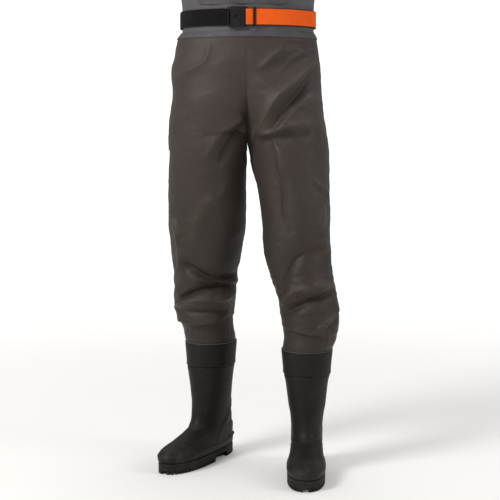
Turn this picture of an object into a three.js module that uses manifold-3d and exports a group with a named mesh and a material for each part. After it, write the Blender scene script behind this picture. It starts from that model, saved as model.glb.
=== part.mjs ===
// Chest waders, standing as they are worn: a bib and trousers of coated fabric, boots welded to the legs,
// a wading belt with a side-release buckle, and elastic braces with a buckle each.
// Millimetres, +Z up. The wearer faces -Y and the wearer's left is +X. The origin is on the floor, under the
// middle of the overall box.
import * as THREE from "three";
import { mergeVertices } from "three/addons/utils/BufferGeometryUtils.js";
import Module from "manifold-3d";

const wasm = await Module();
wasm.setup();

// ---------------------------------------------------------------- driving dimensions

const FABRIC = 1.2; // coated fabric, with its welded seams
const SEAM_GAP = 0.3; // clearance between two pieces that touch
const SKIN_GAP = 0.8; // clearance of a strip that lies on the fabric
const BOOT_HEIGHT = 302;
const BOOT_WALL = 3;
const SOLE_THICKNESS = 26;
const TREAD_DEPTH = 7;
const INSOLE_THICKNESS = 5;
const CUFF_BAND_HEIGHT = 58;
const CUFF_BAND_WALL = 2.6;
const SHAFT_HALF_WIDTH = 61;
const SHAFT_HALF_DEPTH = 70;
const FOOT_LENGTH_FRONT = 216; // from the shaft's axis to the toe
const FOOT_LENGTH_BACK = 88; // from the shaft's axis to the heel
const WAIST_HEIGHT = 1066; // the seam between the trousers and the bib
const BIB_FRONT_HEIGHT = 1430;
const BIB_SIDE_HEIGHT = 1300;
const BIB_BACK_HEIGHT = 1352;
const SHOULDER_HEIGHT = 1562;
const BELT_HEIGHT = 1111; // the belt's middle
const BELT_WIDTH = 40;
const BELT_STAND_OFF = 2.4; // the belt lies on the fabric with room for a keeper's back plate
const BELT_MARGIN = 6; // the fabric under the belt runs straight up to this far above and below it
const WEBBING = 1.6;
const BRACE_WIDTH = 36;
const BRACE_SPACING = 92; // from the bib's middle to each brace
const BUCKLE_THICKNESS = 10;
const TAPE_WIDTH = 22; // welded seam tape
const TAPE = 0.8;
const POCKET_WIDTH = 250;
const POCKET_HEIGHT = 205;
const POCKET_BORDER = 12;

const KNEE_BELOW = 0.19; // the leg's joins, in shares of its height between the boot and the waist seam
const KNEE_ABOVE = 0.39;
const THIGH_ABOVE = 0.6;
const FAR = 400; // a cutter's reach, past the whole body's outline

const RIGHT_FOOT = { x: -100, y: 35, turn: -31 }; // the shaft's axis and the toes' turn outwards, degrees
const LEFT_FOOT = { x: 141, y: -96, turn: -3 };

// The body's outline from the waist seam to the shoulders: half-widths a and b across X and Y, about (x, y).
const TORSO = [
  { z: WAIST_HEIGHT, x: -7, y: -10, a: 172, b: 121 },
  { z: BELT_HEIGHT - BELT_WIDTH / 2 - BELT_MARGIN, x: -5, y: -10, a: 163, b: 116.5 },
  { z: BELT_HEIGHT + BELT_WIDTH / 2 + BELT_MARGIN, x: -5, y: -10, a: 163, b: 116.5 },
  { z: 1200, x: -6, y: -10, a: 171, b: 122 },
  { z: 1270, x: -6, y: -9, a: 181, b: 129 },
  { z: 1350, x: -6, y: -8, a: 188, b: 133 },
  { z: 1440, x: -6, y: -8, a: 189, b: 134 },
];

// Each leg's outline. t runs from 0 at the boot's top to 1 at the waist seam.
const RIGHT_LEG = [
  { t: 0.0, x: RIGHT_FOOT.x, y: RIGHT_FOOT.y, a: SHAFT_HALF_WIDTH, b: SHAFT_HALF_DEPTH },
  { t: 0.045, x: -106, y: 35, a: 65, b: 73 },
  { t: 0.08, x: -113, y: 34, a: 71, b: 77 },
  { t: 0.14, x: -115, y: 33, a: 78, b: 82 },
  { t: 0.22, x: -113, y: 30, a: 82, b: 87 },
  { t: 0.32, x: -110, y: 24, a: 92, b: 94 },
  { t: 0.42, x: -108, y: 16, a: 99, b: 101 },
  { t: 0.52, x: -107, y: 8, a: 99, b: 108 },
  { t: 0.6, x: -106, y: 2, a: 97.5, b: 113 },
  { t: 0.65, x: -104, y: -1, a: 100, b: 116 },
  { t: 0.738, x: -92, y: -5, a: 110, b: 122 },
  { t: 0.822, x: -62, y: -8, a: 132, b: 127 },
  { t: 0.914, x: -30, y: -10, a: 163, b: 127 },
  { t: 1.0, x: -7, y: -10, a: 172, b: 121 },
];
const LEFT_LEG = [
  { t: 0.0, x: LEFT_FOOT.x, y: LEFT_FOOT.y, a: SHAFT_HALF_WIDTH, b: SHAFT_HALF_DEPTH },
  { t: 0.045, x: 149, y: -95, a: 66, b: 73 },
  { t: 0.08, x: 149, y: -92, a: 70, b: 77 },
  { t: 0.14, x: 146, y: -86, a: 73, b: 82 },
  { t: 0.22, x: 131, y: -76, a: 77, b: 86 },
  { t: 0.32, x: 117, y: -63, a: 84, b: 93 },
  { t: 0.42, x: 114, y: -50, a: 86, b: 100 },
  { t: 0.52, x: 107, y: -38, a: 91, b: 107 },
  { t: 0.6, x: 99, y: -28, a: 97.5, b: 113 },
  { t: 0.65, x: 95, y: -24, a: 100, b: 116 },
  { t: 0.738, x: 78, y: -18, a: 109, b: 122 },
  { t: 0.822, x: 50, y: -14, a: 130, b: 127 },
  { t: 0.914, x: 18, y: -11, a: 157, b: 127 },
  { t: 1.0, x: -7, y: -10, a: 172, b: 121 },
];

// The boot's level outlines about the shaft's axis: its reach back and forward, and its half-widths.
const FOOT = [
  { z: SOLE_THICKNESS, back: FOOT_LENGTH_BACK - 2, front: FOOT_LENGTH_FRONT - 3, heel: 35, ball: 48.5 },
  { z: 40, back: FOOT_LENGTH_BACK, front: FOOT_LENGTH_FRONT, heel: 37, ball: 51 },
  { z: 50, back: FOOT_LENGTH_BACK - 1, front: FOOT_LENGTH_FRONT - 6, heel: 37, ball: 48 },
  { z: 58, back: FOOT_LENGTH_BACK - 2, front: FOOT_LENGTH_FRONT - 30, heel: 37, ball: 44 },
  { z: 66, back: FOOT_LENGTH_BACK - 3.5, front: FOOT_LENGTH_FRONT - 66, heel: 37, ball: 41 },
  { z: 76, back: FOOT_LENGTH_BACK - 5, front: FOOT_LENGTH_FRONT - 104, heel: 37, ball: 38.5 },
  { z: 88, back: FOOT_LENGTH_BACK - 8, front: FOOT_LENGTH_FRONT - 132, heel: 37, ball: 38 },
  { z: 102, back: FOOT_LENGTH_BACK - 11, front: FOOT_LENGTH_FRONT - 143, heel: 38, ball: 38.5 },
  { z: 120, back: FOOT_LENGTH_BACK - 15, front: FOOT_LENGTH_FRONT - 147, heel: 39, ball: 39.5 },
  { z: 145, back: 69, front: 68, heel: 41.5, ball: 41.5 },
  { z: 190, back: 66, front: 66, heel: 46, ball: 46 },
  { z: BOOT_HEIGHT - CUFF_BAND_HEIGHT - 2, back: 66.5, front: 66.5, heel: 54, ball: 54 },
];

const LEG_SIDES = 24;
const BODY_SIDES = 36;
const FOOT_SIDES = 28;

// ---------------------------------------------------------------- materials

const finish = (color, roughness, metalness = 0) =>
  new THREE.MeshStandardMaterial({ color, roughness, metalness });
const TROUSER = finish(0x48413d, 0.6);
const BIB = finish(0x66666a, 0.55);
const TAPE_GREY = finish(0x7a7b7d, 0.5);
const RUBBER = finish(0x2b2a28, 0.55);
const SOLE_RUBBER = finish(0x232221, 0.7);
const FELT = finish(0x55524c, 0.95);
const BLACK_WEBBING = finish(0x15151a, 0.85);
const ORANGE_WEBBING = finish(0xf2601c, 0.8);
const BUCKLE_PLASTIC = finish(0x1b1e1b, 0.45);
const ZIP_METAL = finish(0x3a3a3c, 0.4, 0.6);

// ---------------------------------------------------------------- solids

const group = new THREE.Group();
const vec = (x, y, z) => new THREE.Vector3(x, y, z);
const radians = THREE.MathUtils.degToRad;

/** A closed surface as a solid, turned the right way out. */
function solidOf(points, triangles) {
  const vertices = new Float32Array(points.flatMap((p) => [p.x, p.y, p.z]));
  const build = (faces) => {
    const triVerts = new Uint32Array(faces.flat());
    return new wasm.Manifold(new wasm.Mesh({ numProp: 3, vertProperties: vertices, triVerts }));
  };
  const made = build(triangles);
  return made.volume() > 0 ? made : build(triangles.map(([a, b, c]) => [a, c, b]));
}

/** A three.js geometry as a solid. */
function solidOfGeometry(geometry) {
  const bare = geometry.clone();
  bare.deleteAttribute("normal");
  bare.deleteAttribute("uv");
  const merged = mergeVertices(bare, 1e-4);
  const position = merged.getAttribute("position");
  const points = Array.from({ length: position.count }, (_, i) => vec().fromBufferAttribute(position, i));
  const index = Array.from(merged.index.array);
  const triangles = Array.from({ length: index.length / 3 }, (_, i) => index.slice(3 * i, 3 * i + 3));
  return solidOf(points, triangles);
}

/** A block between two corners. */
const box = (x0, x1, y0, y1, z0, z1) =>
  solidOfGeometry(new THREE.BoxGeometry(x1 - x0, y1 - y0, z1 - z0)).translate([
    (x0 + x1) / 2,
    (y0 + y1) / 2,
    (z0 + z1) / 2,
  ]);

/** A flat shape drawn up into a solid of a depth. */
const extruded = (shape, depth) =>
  solidOfGeometry(new THREE.ExtrudeGeometry(shape, { depth, bevelEnabled: false, curveSegments: 4 }));

/** Adds a solid to the object as a named mesh. */
function piece(name, solid, material) {
  const mesh = solid.getMesh();
  const geometry = new THREE.BufferGeometry();
  geometry.setAttribute("position", new THREE.BufferAttribute(mesh.vertProperties, 3));
  geometry.setIndex(new THREE.BufferAttribute(mesh.triVerts, 1));
  geometry.computeVertexNormals();
  const made = new THREE.Mesh(geometry, material);
  made.name = name;
  group.add(made);
}

/** Rings of equally many points, skinned in order, with a fan over each end. */
function loft(rings) {
  const n = rings[0].length;
  const points = rings.flat();
  const triangles = [];
  for (let r = 0; r + 1 < rings.length; r++)
    for (let i = 0; i < n; i++) {
      const a = r * n + i;
      const b = r * n + ((i + 1) % n);
      triangles.push([a, b, a + n], [b, b + n, a + n]);
    }
  for (const r of [0, rings.length - 1]) {
    const middle = points.length;
    points.push(rings[r].reduce((sum, p) => sum.add(p), vec(0, 0, 0)).divideScalar(n));
    for (let i = 0; i < n; i++) {
      const edge = [r * n + i, r * n + ((i + 1) % n)];
      triangles.push(r ? [edge[0], edge[1], middle] : [edge[1], edge[0], middle]);
    }
  }
  return solidOf(points, triangles);
}

/** A sheet between two surfaces over the same grid of u and v. A wrapped sheet closes on itself along u. */
function sheet(us, vs, outer, inner, wrapped = false) {
  const columns = us.length;
  const points = [outer, inner].flatMap((surface) => vs.flatMap((v) => us.map((u) => surface(u, v))));
  const layer = columns * vs.length;
  const at = (side, i, j) => side * layer + j * columns + (i % columns);
  const triangles = [];
  const quad = (a, b, c, d) => triangles.push([a, b, c], [a, c, d]);
  const last = wrapped ? columns : columns - 1;
  for (let j = 0; j + 1 < vs.length; j++)
    for (let i = 0; i < last; i++) {
      quad(at(0, i, j), at(0, i + 1, j), at(0, i + 1, j + 1), at(0, i, j + 1));
      quad(at(1, i, j), at(1, i, j + 1), at(1, i + 1, j + 1), at(1, i + 1, j));
    }
  for (let i = 0; i < last; i++) {
    quad(at(0, i + 1, 0), at(0, i, 0), at(1, i, 0), at(1, i + 1, 0));
    const top = vs.length - 1;
    quad(at(0, i, top), at(0, i + 1, top), at(1, i + 1, top), at(1, i, top));
  }
  for (let j = 0; !wrapped && j + 1 < vs.length; j++) {
    quad(at(0, 0, j), at(0, 0, j + 1), at(1, 0, j + 1), at(1, 0, j));
    quad(at(0, last, j + 1), at(0, last, j), at(1, last, j), at(1, last, j + 1));
  }
  return solidOf(points, triangles);
}

/** Every multiple of a whole turn's step between two angles, with the two ends, in degrees. */
function angles(from, to, sides) {
  const step = 360 / sides;
  const inside = [];
  for (let k = Math.ceil(from / step + 0.05); k * step < to - 0.05 * step; k++) inside.push(k * step);
  return [from, ...inside, to];
}

/** Two levels with every station between them that isn't within a margin of either. */
const levels = (from, to, stations, margin = 1) => [
  from,
  ...stations.filter((s) => s > from + margin && s < to - margin),
  to,
];

/** The values of a table of stations at one place along it. */
function station(table, key, at) {
  const above = table.findIndex((s) => s[key] > at);
  const next = above < 0 ? table.length - 1 : Math.max(1, above);
  const [low, high] = [table[next - 1], table[next]];
  const share = (at - low[key]) / (high[key] - low[key]);
  return Object.fromEntries(Object.keys(low).map((k) => [k, low[k] + share * (high[k] - low[k])]));
}

/** A point on an ellipse, at an angle in degrees. */
const ellipse = (a, b, angle) => [a * Math.cos(radians(angle)), b * Math.sin(radians(angle))];

// ---------------------------------------------------------------- the body's and the legs' surfaces

const BODY_LEVELS = TORSO.map((s) => s.z);
const BODY_ANGLES = angles(0, 360, BODY_SIDES).slice(0, -1);

/** The bib's outer surface, or one outside it. Angle 0 is the wearer's left and -90 the front. */
function torsoPoint(angle, z, off = 0) {
  const s = station(TORSO, "z", Math.min(z, TORSO.at(-1).z));
  const [x, y] = ellipse(s.a + off, s.b + off, angle);
  return vec(s.x + x, s.y + y, z);
}

/** A patch that lies on the bib between two angles and two levels. */
function torsoPatch(from, to, low, high, near, far) {
  const surface = (off) => (u, v) => torsoPoint(u, v, off);
  return sheet(angles(from, to, BODY_SIDES), levels(low, high, BODY_LEVELS), surface(far), surface(near));
}

/** A band all round the bib. */
function torsoBand(low, high, near, far) {
  const surface = (off) => (u, v) => torsoPoint(u, v, off);
  return sheet(BODY_ANGLES, levels(low, high, BODY_LEVELS), surface(far), surface(near), true);
}

/** The bib's angle at which it reaches x across its front (side -1) or back (side 1). */
function angleAt(x, z, side) {
  let [left, right] = [0, 180];
  for (let halving = 0; halving < 30; halving++) {
    const middle = (left + right) / 2;
    if (torsoPoint(middle, z).x > x) left = middle;
    else right = middle;
  }
  return side * left;
}

const LEGS = {
  right: { table: RIGHT_LEG, foot: RIGHT_FOOT, side: -1 },
  left: { table: LEFT_LEG, foot: LEFT_FOOT, side: 1 },
};
const LEG_ANGLES = angles(0, 360, LEG_SIDES).slice(0, -1);
const legHeight = (t) => BOOT_HEIGHT + t * (WAIST_HEIGHT - BOOT_HEIGHT);
const TURN_OUT = 0.2; // the share of the leg over which the outline turns from the foot's way to the body's

/** The leg's outer surface at a share t of its height, or a surface at a distance outside it. */
function legPoint({ table, foot }, angle, t, off = 0) {
  const s = station(table, "t", Math.max(0, t));
  const turn = radians(foot.turn * Math.max(0, 1 - t / TURN_OUT));
  const [x, y] = ellipse(s.a + off, s.b + off, angle);
  const point = vec(x, y, 0).applyAxisAngle(vec(0, 0, 1), turn);
  return point.add(vec(s.x, s.y, legHeight(t)));
}

/** The shares of a leg's height between two of them, at its stations. */
const legLevels = (leg, low, high) => levels(low, high, leg.table.map((s) => s.t), 0.008);

/** A tube of fabric along the leg. */
function legTube(leg, low, high) {
  const surface = (off) => (u, v) => legPoint(leg, u, v, off);
  return sheet(LEG_ANGLES, legLevels(leg, low, high), surface(0), surface(-FABRIC), true);
}

// ---------------------------------------------------------------- trousers and bib

const share = (millimetres) => millimetres / (WAIST_HEIGHT - BOOT_HEIGHT);
const CENTRE_X = TORSO[0].x;
const LEG_TUCK = CUFF_BAND_HEIGHT - 6; // how far the leg runs down inside the boot's band
const CENTRE_GAP = SEAM_GAP / 2 + 0.05; // from the centre plane to each half of the seat

/** Half of the seat, from the thigh to the waist seam, open to the other half above the crotch. */
function seatHalf(leg) {
  const low = THIGH_ABOVE + share(SEAM_GAP);
  const high = 1 - share(SEAM_GAP);
  const stations = legLevels(leg, low, high);
  const ring = (t, off, lift = 0) =>
    LEG_ANGLES.map((angle) => legPoint(leg, angle, t, off).add(vec(0, 0, lift)));
  const outer = loft(stations.map((t) => ring(t, 0)));
  const inner = [ring(low, -FABRIC, -1), ...stations.map((t) => ring(t, -FABRIC)), ring(high, -FABRIC, 1)];
  const across = [CENTRE_X + leg.side * CENTRE_GAP, CENTRE_X - leg.side * FAR].sort((p, q) => p - q);
  const otherHalf = box(...across, -FAR, FAR, 0, 2 * WAIST_HEIGHT);
  return outer.subtract(loft(inner)).subtract(otherHalf);
}

for (const [side, leg] of Object.entries(LEGS)) {
  piece(`seat_${side}`, seatHalf(leg), TROUSER);
  piece(`thigh_${side}`, legTube(leg, KNEE_ABOVE + share(SEAM_GAP), THIGH_ABOVE), TROUSER);
  piece(`knee_${side}`, legTube(leg, KNEE_BELOW + share(SEAM_GAP), KNEE_ABOVE), TROUSER);
}

/** How high the bib reaches at an angle: highest across the chest, lowest under the arms. */
function bibEdge(angle) {
  const front = -Math.sin(radians(angle));
  const rise = (x) => {
    const t = Math.min(1, Math.max(0, x));
    return t * t * (3 - 2 * t);
  };
  const peak = front > 0 ? BIB_FRONT_HEIGHT : BIB_BACK_HEIGHT;
  return BIB_SIDE_HEIGHT + (peak - BIB_SIDE_HEIGHT) * rise(Math.abs(front) / 0.86);
}

const EDGE_CUT = 40; // how far the cutter reaches past the fabric
const aboveEdge = sheet(
  BODY_ANGLES,
  [0, 1],
  (u, v) => torsoPoint(u, bibEdge(u) + v * (TORSO.at(-1).z + EDGE_CUT - bibEdge(u)), EDGE_CUT),
  (u, v) => torsoPoint(u, bibEdge(u) + v * (TORSO.at(-1).z + EDGE_CUT - bibEdge(u)), -EDGE_CUT),
  true,
);
const SIDE_SEAM = 0.1; // degrees of gap at the side seams
const bibPanel = (from, to) =>
  torsoPatch(from, to, WAIST_HEIGHT + SEAM_GAP, TORSO.at(-1).z, -FABRIC, 0).subtract(aboveEdge);
piece("bib_front", bibPanel(-180 + SIDE_SEAM, -SIDE_SEAM), BIB);
piece("bib_back", bibPanel(SIDE_SEAM, 180 - SIDE_SEAM), BIB);

const BINDING_WIDTH = 14;
const bindingPoint = (off) => (u, v) => torsoPoint(u, bibEdge(u) - 1 - v * BINDING_WIDTH, off);
piece(
  "bib_top_binding",
  sheet(BODY_ANGLES, [0, 1], bindingPoint(SKIN_GAP + TAPE), bindingPoint(SKIN_GAP), true),
  TAPE_GREY,
);
const WAIST_TAPE_OFF = SKIN_GAP + 0.4;
const WAIST_FLARE = 0.25; // the trousers' widening on each side, for each millimetre below the waist seam
const waistBand = (off) => (u, v) => {
  const flare = Math.max(0, WAIST_HEIGHT - v) * WAIST_FLARE;
  return torsoPoint(u, Math.max(v, WAIST_HEIGHT), off + flare).setZ(v);
};
const WAIST_TAPE_TRIM = 4; // the tape reaches less far up, to stay clear of the belt loops
const waistTapeLow = WAIST_HEIGHT - TAPE_WIDTH / 2;
const waistTapeHigh = WAIST_HEIGHT + TAPE_WIDTH / 2 - WAIST_TAPE_TRIM;
piece(
  "waist_seam_tape",
  sheet(
    BODY_ANGLES,
    [waistTapeLow, WAIST_HEIGHT, waistTapeHigh],
    waistBand(WAIST_TAPE_OFF + TAPE),
    waistBand(WAIST_TAPE_OFF),
    true,
  ),
  TAPE_GREY,
);

// ---------------------------------------------------------------- boots

const FOOT_ANGLES = angles(0, 360, FOOT_SIDES).slice(0, -1);
const FOOT_BOXINESS = 0.85; // 1 is an ellipse, and less is boxier

/** A level outline in the boot's own frame, with +X towards the toes, shrunk or grown by a distance. */
function footRing(s, off = 0) {
  const middle = (s.front - s.back) / 2;
  const half = (s.front + s.back) / 2 + off;
  const boxy = s.front - s.back > 20 ? FOOT_BOXINESS : 1;
  const power = (value) => Math.sign(value) * Math.abs(value) ** boxy;
  return FOOT_ANGLES.map((angle) => {
    const [along, across] = ellipse(1, 1, angle).map(power);
    const forward = (along + 1) / 2;
    const blend = forward * forward * (3 - 2 * forward);
    return vec(middle + half * along, (s.heel + (s.ball - s.heel) * blend + off) * across, s.z);
  });
}

const shaftTop = {
  z: BOOT_HEIGHT,
  back: SHAFT_HALF_DEPTH - FABRIC - SEAM_GAP,
  front: SHAFT_HALF_DEPTH - FABRIC - SEAM_GAP,
  heel: SHAFT_HALF_WIDTH - FABRIC - SEAM_GAP,
  ball: SHAFT_HALF_WIDTH - FABRIC - SEAM_GAP,
};
const BAND_TAPER = { across: 4.5, along: 2.5 }; // how much narrower the shaft is at the band's foot
const bandFoot = {
  ...shaftTop,
  z: BOOT_HEIGHT - CUFF_BAND_HEIGHT,
  heel: shaftTop.heel - BAND_TAPER.across,
  ball: shaftTop.ball - BAND_TAPER.across,
  back: shaftTop.back - BAND_TAPER.along,
  front: shaftTop.front - BAND_TAPER.along,
};
const BOOT_STATIONS = [...FOOT.slice(0, -1), { ...bandFoot, z: bandFoot.z - 2 }, bandFoot, shaftTop];
const BOOT_FLOOR = SOLE_THICKNESS + 3.5;

/** Turns and places a solid made in the boot's own frame. */
function onFoot(solid, { x, y, turn }) {
  return solid.rotate([0, 0, -90 + turn]).translate([x, y, 0]);
}

const VAMP = { low: 45, high: 140 }; // the sloping top of the foot, whose wall is also measured downwards

/** The boot's moulded upper: a shaft and a foot with one wall, open at the top. */
function bootUpper() {
  const outer = loft(BOOT_STATIONS.map((s) => footRing(s)));
  const lowered = (s) => (s.z > VAMP.low && s.z < VAMP.high ? { ...s, z: s.z - BOOT_WALL } : s);
  const cavity = BOOT_STATIONS.filter((s) => s.z > BOOT_FLOOR).map((s) => footRing(lowered(s), -BOOT_WALL));
  const floor = footRing({ ...station(FOOT, "z", BOOT_FLOOR), z: BOOT_FLOOR }, -BOOT_WALL);
  const above = footRing({ ...shaftTop, z: BOOT_HEIGHT + 1 }, -BOOT_WALL);
  return outer.subtract(loft([floor, ...cavity, above]));
}

const HEEL_FRONT = -22; // the heel block ends here, and the arch is raised in front of it
const ARCH_FRONT = 38;
const ARCH_RISE = 14;
const LUG_PITCH = 15;
const LUG_GROOVE = 4.5;
const SPINE_HALF = { heel: 12, ball: 14 }; // the solid rib between the grooves of the two sides

/** A groove across the tread, on one side of the spine. */
function lugGroove(x, side, spine) {
  const [low, high] = side > 0 ? [spine, FAR] : [-FAR, -spine];
  return box(x, x + LUG_GROOVE, low, high, -1, TREAD_DEPTH);
}

/** The outsole: a heel block, a raised arch and a cleated tread. */
function outsole() {
  const rim = { ...FOOT[0], back: FOOT_LENGTH_BACK + 1, front: FOOT_LENGTH_FRONT + 1, heel: 37, ball: 51 };
  const foot = { ...rim, back: rim.back - 4, front: rim.front - 5, heel: 34.5, ball: 49 };
  let sole = loft([
    footRing({ ...foot, z: 0 }),
    footRing({ ...rim, z: TREAD_DEPTH }),
    footRing({ ...rim, z: SOLE_THICKNESS - SEAM_GAP }),
  ]);
  sole = sole.subtract(box(HEEL_FRONT, ARCH_FRONT, -FAR, FAR, -1, ARCH_RISE));
  for (const side of [-1, 1]) {
    for (let x = ARCH_FRONT + 12; x < FOOT_LENGTH_FRONT - 8; x += LUG_PITCH)
      sole = sole.subtract(lugGroove(x, side, SPINE_HALF.ball));
    for (let x = HEEL_FRONT - 16; x > -FOOT_LENGTH_BACK + 8; x -= LUG_PITCH)
      sole = sole.subtract(lugGroove(x, side, SPINE_HALF.heel));
  }
  return sole;
}

/** A footbed cut to the inside of the boot. */
function insole() {
  const low = BOOT_FLOOR + SEAM_GAP;
  const ring = (z) => footRing({ ...station(FOOT, "z", low), z }, -BOOT_WALL - 0.8);
  return loft([ring(low), ring(low + INSOLE_THICKNESS)]);
}

const SPUR_HEIGHT = 49;
const SPUR_REACH = 5;
const SPUR_WRAP = 26; // how far the ledge comes forward round the heel

/** The kick-off ledge across the back of the heel. */
function heelSpur() {
  const s = station(FOOT, "z", SPUR_HEIGHT);
  const ring = (rise, off) => footRing({ ...s, z: SPUR_HEIGHT + rise }, off);
  const ledge = loft([ring(-3, 1.5), ring(-1, SPUR_REACH), ring(2, SPUR_REACH), ring(3, 1.5)]);
  const within = loft([ring(-10, SEAM_GAP + 0.6), ring(10, SEAM_GAP + 0.6)]);
  return ledge.subtract(within).intersect(box(-FAR, -s.back + SPUR_WRAP, -FAR, FAR, 0, FAR));
}

/** A rubber band moulded over the boot's top and the leg's end. */
function cuffBand() {
  const clear = FABRIC + 2 * SEAM_GAP;
  const rings = (off) => [
    footRing({ ...bandFoot }, clear + off),
    footRing({ ...shaftTop, z: BOOT_HEIGHT }, clear + off),
  ];
  const [low, high] = rings(0);
  const shifted = (ring, lift) => ring.map((p) => p.clone().setZ(p.z + lift));
  const bore = [shifted(low, -1), low, high, shifted(high, 1)];
  return loft(rings(CUFF_BAND_WALL)).subtract(loft(bore));
}

/** The leg below the knee, with its end tucked down between the boot's shaft and its band. */
function shin(leg) {
  const stations = legLevels(leg, share(4), KNEE_BELOW);
  const rings = (off) => {
    const tucked = [
      { ...bandFoot, z: BOOT_HEIGHT - LEG_TUCK },
      { ...shaftTop, z: BOOT_HEIGHT },
    ].map((s) => {
      const fit = station([bandFoot, shaftTop], "z", Math.min(s.z, BOOT_HEIGHT - 0.01));
      const ring = footRing({ ...fit, z: s.z }, SEAM_GAP + FABRIC + off);
      const turned = radians(-90 + leg.foot.turn);
      return ring.map((p) => p.applyAxisAngle(vec(0, 0, 1), turned).add(vec(leg.foot.x, leg.foot.y, 0)));
    });
    const free = stations.map((t) => FOOT_ANGLES.map((angle) => legPoint(leg, angle - 90, t, off)));
    return [...tucked, ...free];
  };
  const outer = rings(0);
  const inner = rings(-FABRIC);
  const down = inner[0].map((p) => p.clone().setZ(p.z - 1));
  const up = inner.at(-1).map((p) => p.clone().setZ(p.z + 1));
  return loft(outer).subtract(loft([down, ...inner, up]));
}

const BEAD_HEIGHT = 2.2;
const BEAD_GAP = 0.9; // between the leg's fabric and the bead

/** The bead of weld where the leg comes out of the band. */
function weldBead() {
  const ring = (off, z) => footRing({ ...shaftTop, z }, FABRIC + 2 * SEAM_GAP + off);
  const [low, high] = [BOOT_HEIGHT + SEAM_GAP, BOOT_HEIGHT + BEAD_HEIGHT];
  const bore = [ring(BEAD_GAP, low - 1), ring(BEAD_GAP, high + 1)];
  return loft([ring(CUFF_BAND_WALL, low), ring(CUFF_BAND_WALL - 0.4, high)]).subtract(loft(bore));
}

for (const [side, leg] of Object.entries(LEGS)) {
  piece(`shin_${side}`, shin(leg), TROUSER);
  piece(`boot_upper_${side}`, onFoot(bootUpper(), leg.foot), RUBBER);
  piece(`boot_outsole_${side}`, onFoot(outsole(), leg.foot), SOLE_RUBBER);
  piece(`boot_insole_${side}`, onFoot(insole(), leg.foot), FELT);
  piece(`boot_heel_spur_${side}`, onFoot(heelSpur(), leg.foot), RUBBER);
  piece(`boot_cuff_band_${side}`, onFoot(cuffBand(), leg.foot), RUBBER);
  piece(`boot_weld_bead_${side}`, onFoot(weldBead(), leg.foot), TAPE_GREY);
}

// ---------------------------------------------------------------- side-release buckles

const SOCKET_LENGTH = 24;
const PLUG_LENGTH = 9;
const TONGUE = 15; // how far the plug's guide reaches into the socket
const BUCKLE_WALL = 2;
const PRONG_LENGTH = 16;
const PRONG_WIDTH = 4;
const BAR = 3; // the bars that webbing goes round
const SLOT = 4.6;
const FRAME_LOW = 0.8; // the webbing frames lie low in the buckle's thickness, near the webbing
const FRAME_HIGH = 5.2;
const SLOT_ROOM = 0.8; // beside the webbing, on each side

/** A buckle half's webbing frame: a plate with one slot, from x0 outwards. */
function webbingFrame(x0, side, width, webbing) {
  const [start, end] = side > 0 ? [x0 - 3, x0 + SLOT + BAR] : [x0 - SLOT - BAR, x0 + 3.8];
  const plate = box(start, end, -width / 2 + 1, width / 2 - 1, FRAME_LOW, FRAME_HIGH);
  const slot = side > 0 ? [x0, x0 + SLOT] : [x0 - SLOT, x0];
  const half = webbing / 2 + SLOT_ROOM;
  return plate.subtract(box(...slot, -half, half, -1, BUCKLE_THICKNESS + 1));
}

/** The socket half, in the buckle's frame: +X is the way the plug leaves, Y the width and +Z outwards. */
function buckleSocket(width, webbing) {
  const [t, w] = [BUCKLE_THICKNESS, width / 2];
  const shape = new THREE.Shape();
  shape.moveTo(0, -w + 5);
  shape.quadraticCurveTo(0, -w, 6, -w);
  shape.lineTo(SOCKET_LENGTH, -w);
  shape.lineTo(SOCKET_LENGTH, w);
  shape.lineTo(6, w);
  shape.quadraticCurveTo(0, w, 0, w - 5);
  shape.closePath();
  const shell = extruded(shape, t);
  const hollow = box(4, SOCKET_LENGTH + 1, -w + BUCKLE_WALL, w - BUCKLE_WALL, BUCKLE_WALL, t - BUCKLE_WALL);
  const windows = box(6.5, SOCKET_LENGTH - 4, -w - 1, w + 1, BUCKLE_WALL, t - BUCKLE_WALL);
  const face = box(SOCKET_LENGTH - 15, SOCKET_LENGTH - 8, -3.5, 3.5, t - BUCKLE_WALL - 1, t + 1);
  return shell.subtract(hollow).subtract(windows).subtract(face).add(webbingFrame(0.01, -1, width, webbing));
}

/** The plug's body: a shoulder, a guide tongue and a webbing frame. */
function bucklePlug(width, webbing) {
  const x0 = SOCKET_LENGTH + SEAM_GAP;
  const t = BUCKLE_THICKNESS;
  const shoulder = box(x0, x0 + PLUG_LENGTH, -width / 2, width / 2, 0.6, t - 0.6);
  const tongue = box(x0 - TONGUE, x0 + 1, -3, 3, BUCKLE_WALL + 1, t - BUCKLE_WALL - 1);
  return shoulder.add(tongue).add(webbingFrame(x0 + PLUG_LENGTH - 0.01, 1, width, webbing));
}

/** One springy side prong, on the given side of the plug. */
function buckleProng(width, side) {
  const outer = width / 2 - BUCKLE_WALL - 0.4;
  const root = SOCKET_LENGTH - 0.3;
  const [z0, z1] = [BUCKLE_WALL + 0.4, BUCKLE_THICKNESS - BUCKLE_WALL - 0.4];
  const shape = new THREE.Shape();
  shape.moveTo(root, side * (outer - PRONG_WIDTH - 2.5));
  shape.lineTo(root, side * (outer - 2.5));
  shape.lineTo(root - PRONG_LENGTH + 9, side * outer);
  const tip = root - PRONG_LENGTH;
  shape.quadraticCurveTo(tip, side * outer, tip, side * (outer - PRONG_WIDTH));
  shape.closePath();
  return extruded(shape, z1 - z0).translate([0, 0, z0]);
}

const BELT_BUCKLE_WIDTH = BELT_WIDTH + 8;
const BRACE_BUCKLE_WIDTH = BRACE_WIDTH + 8;

// ---------------------------------------------------------------- belt

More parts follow.
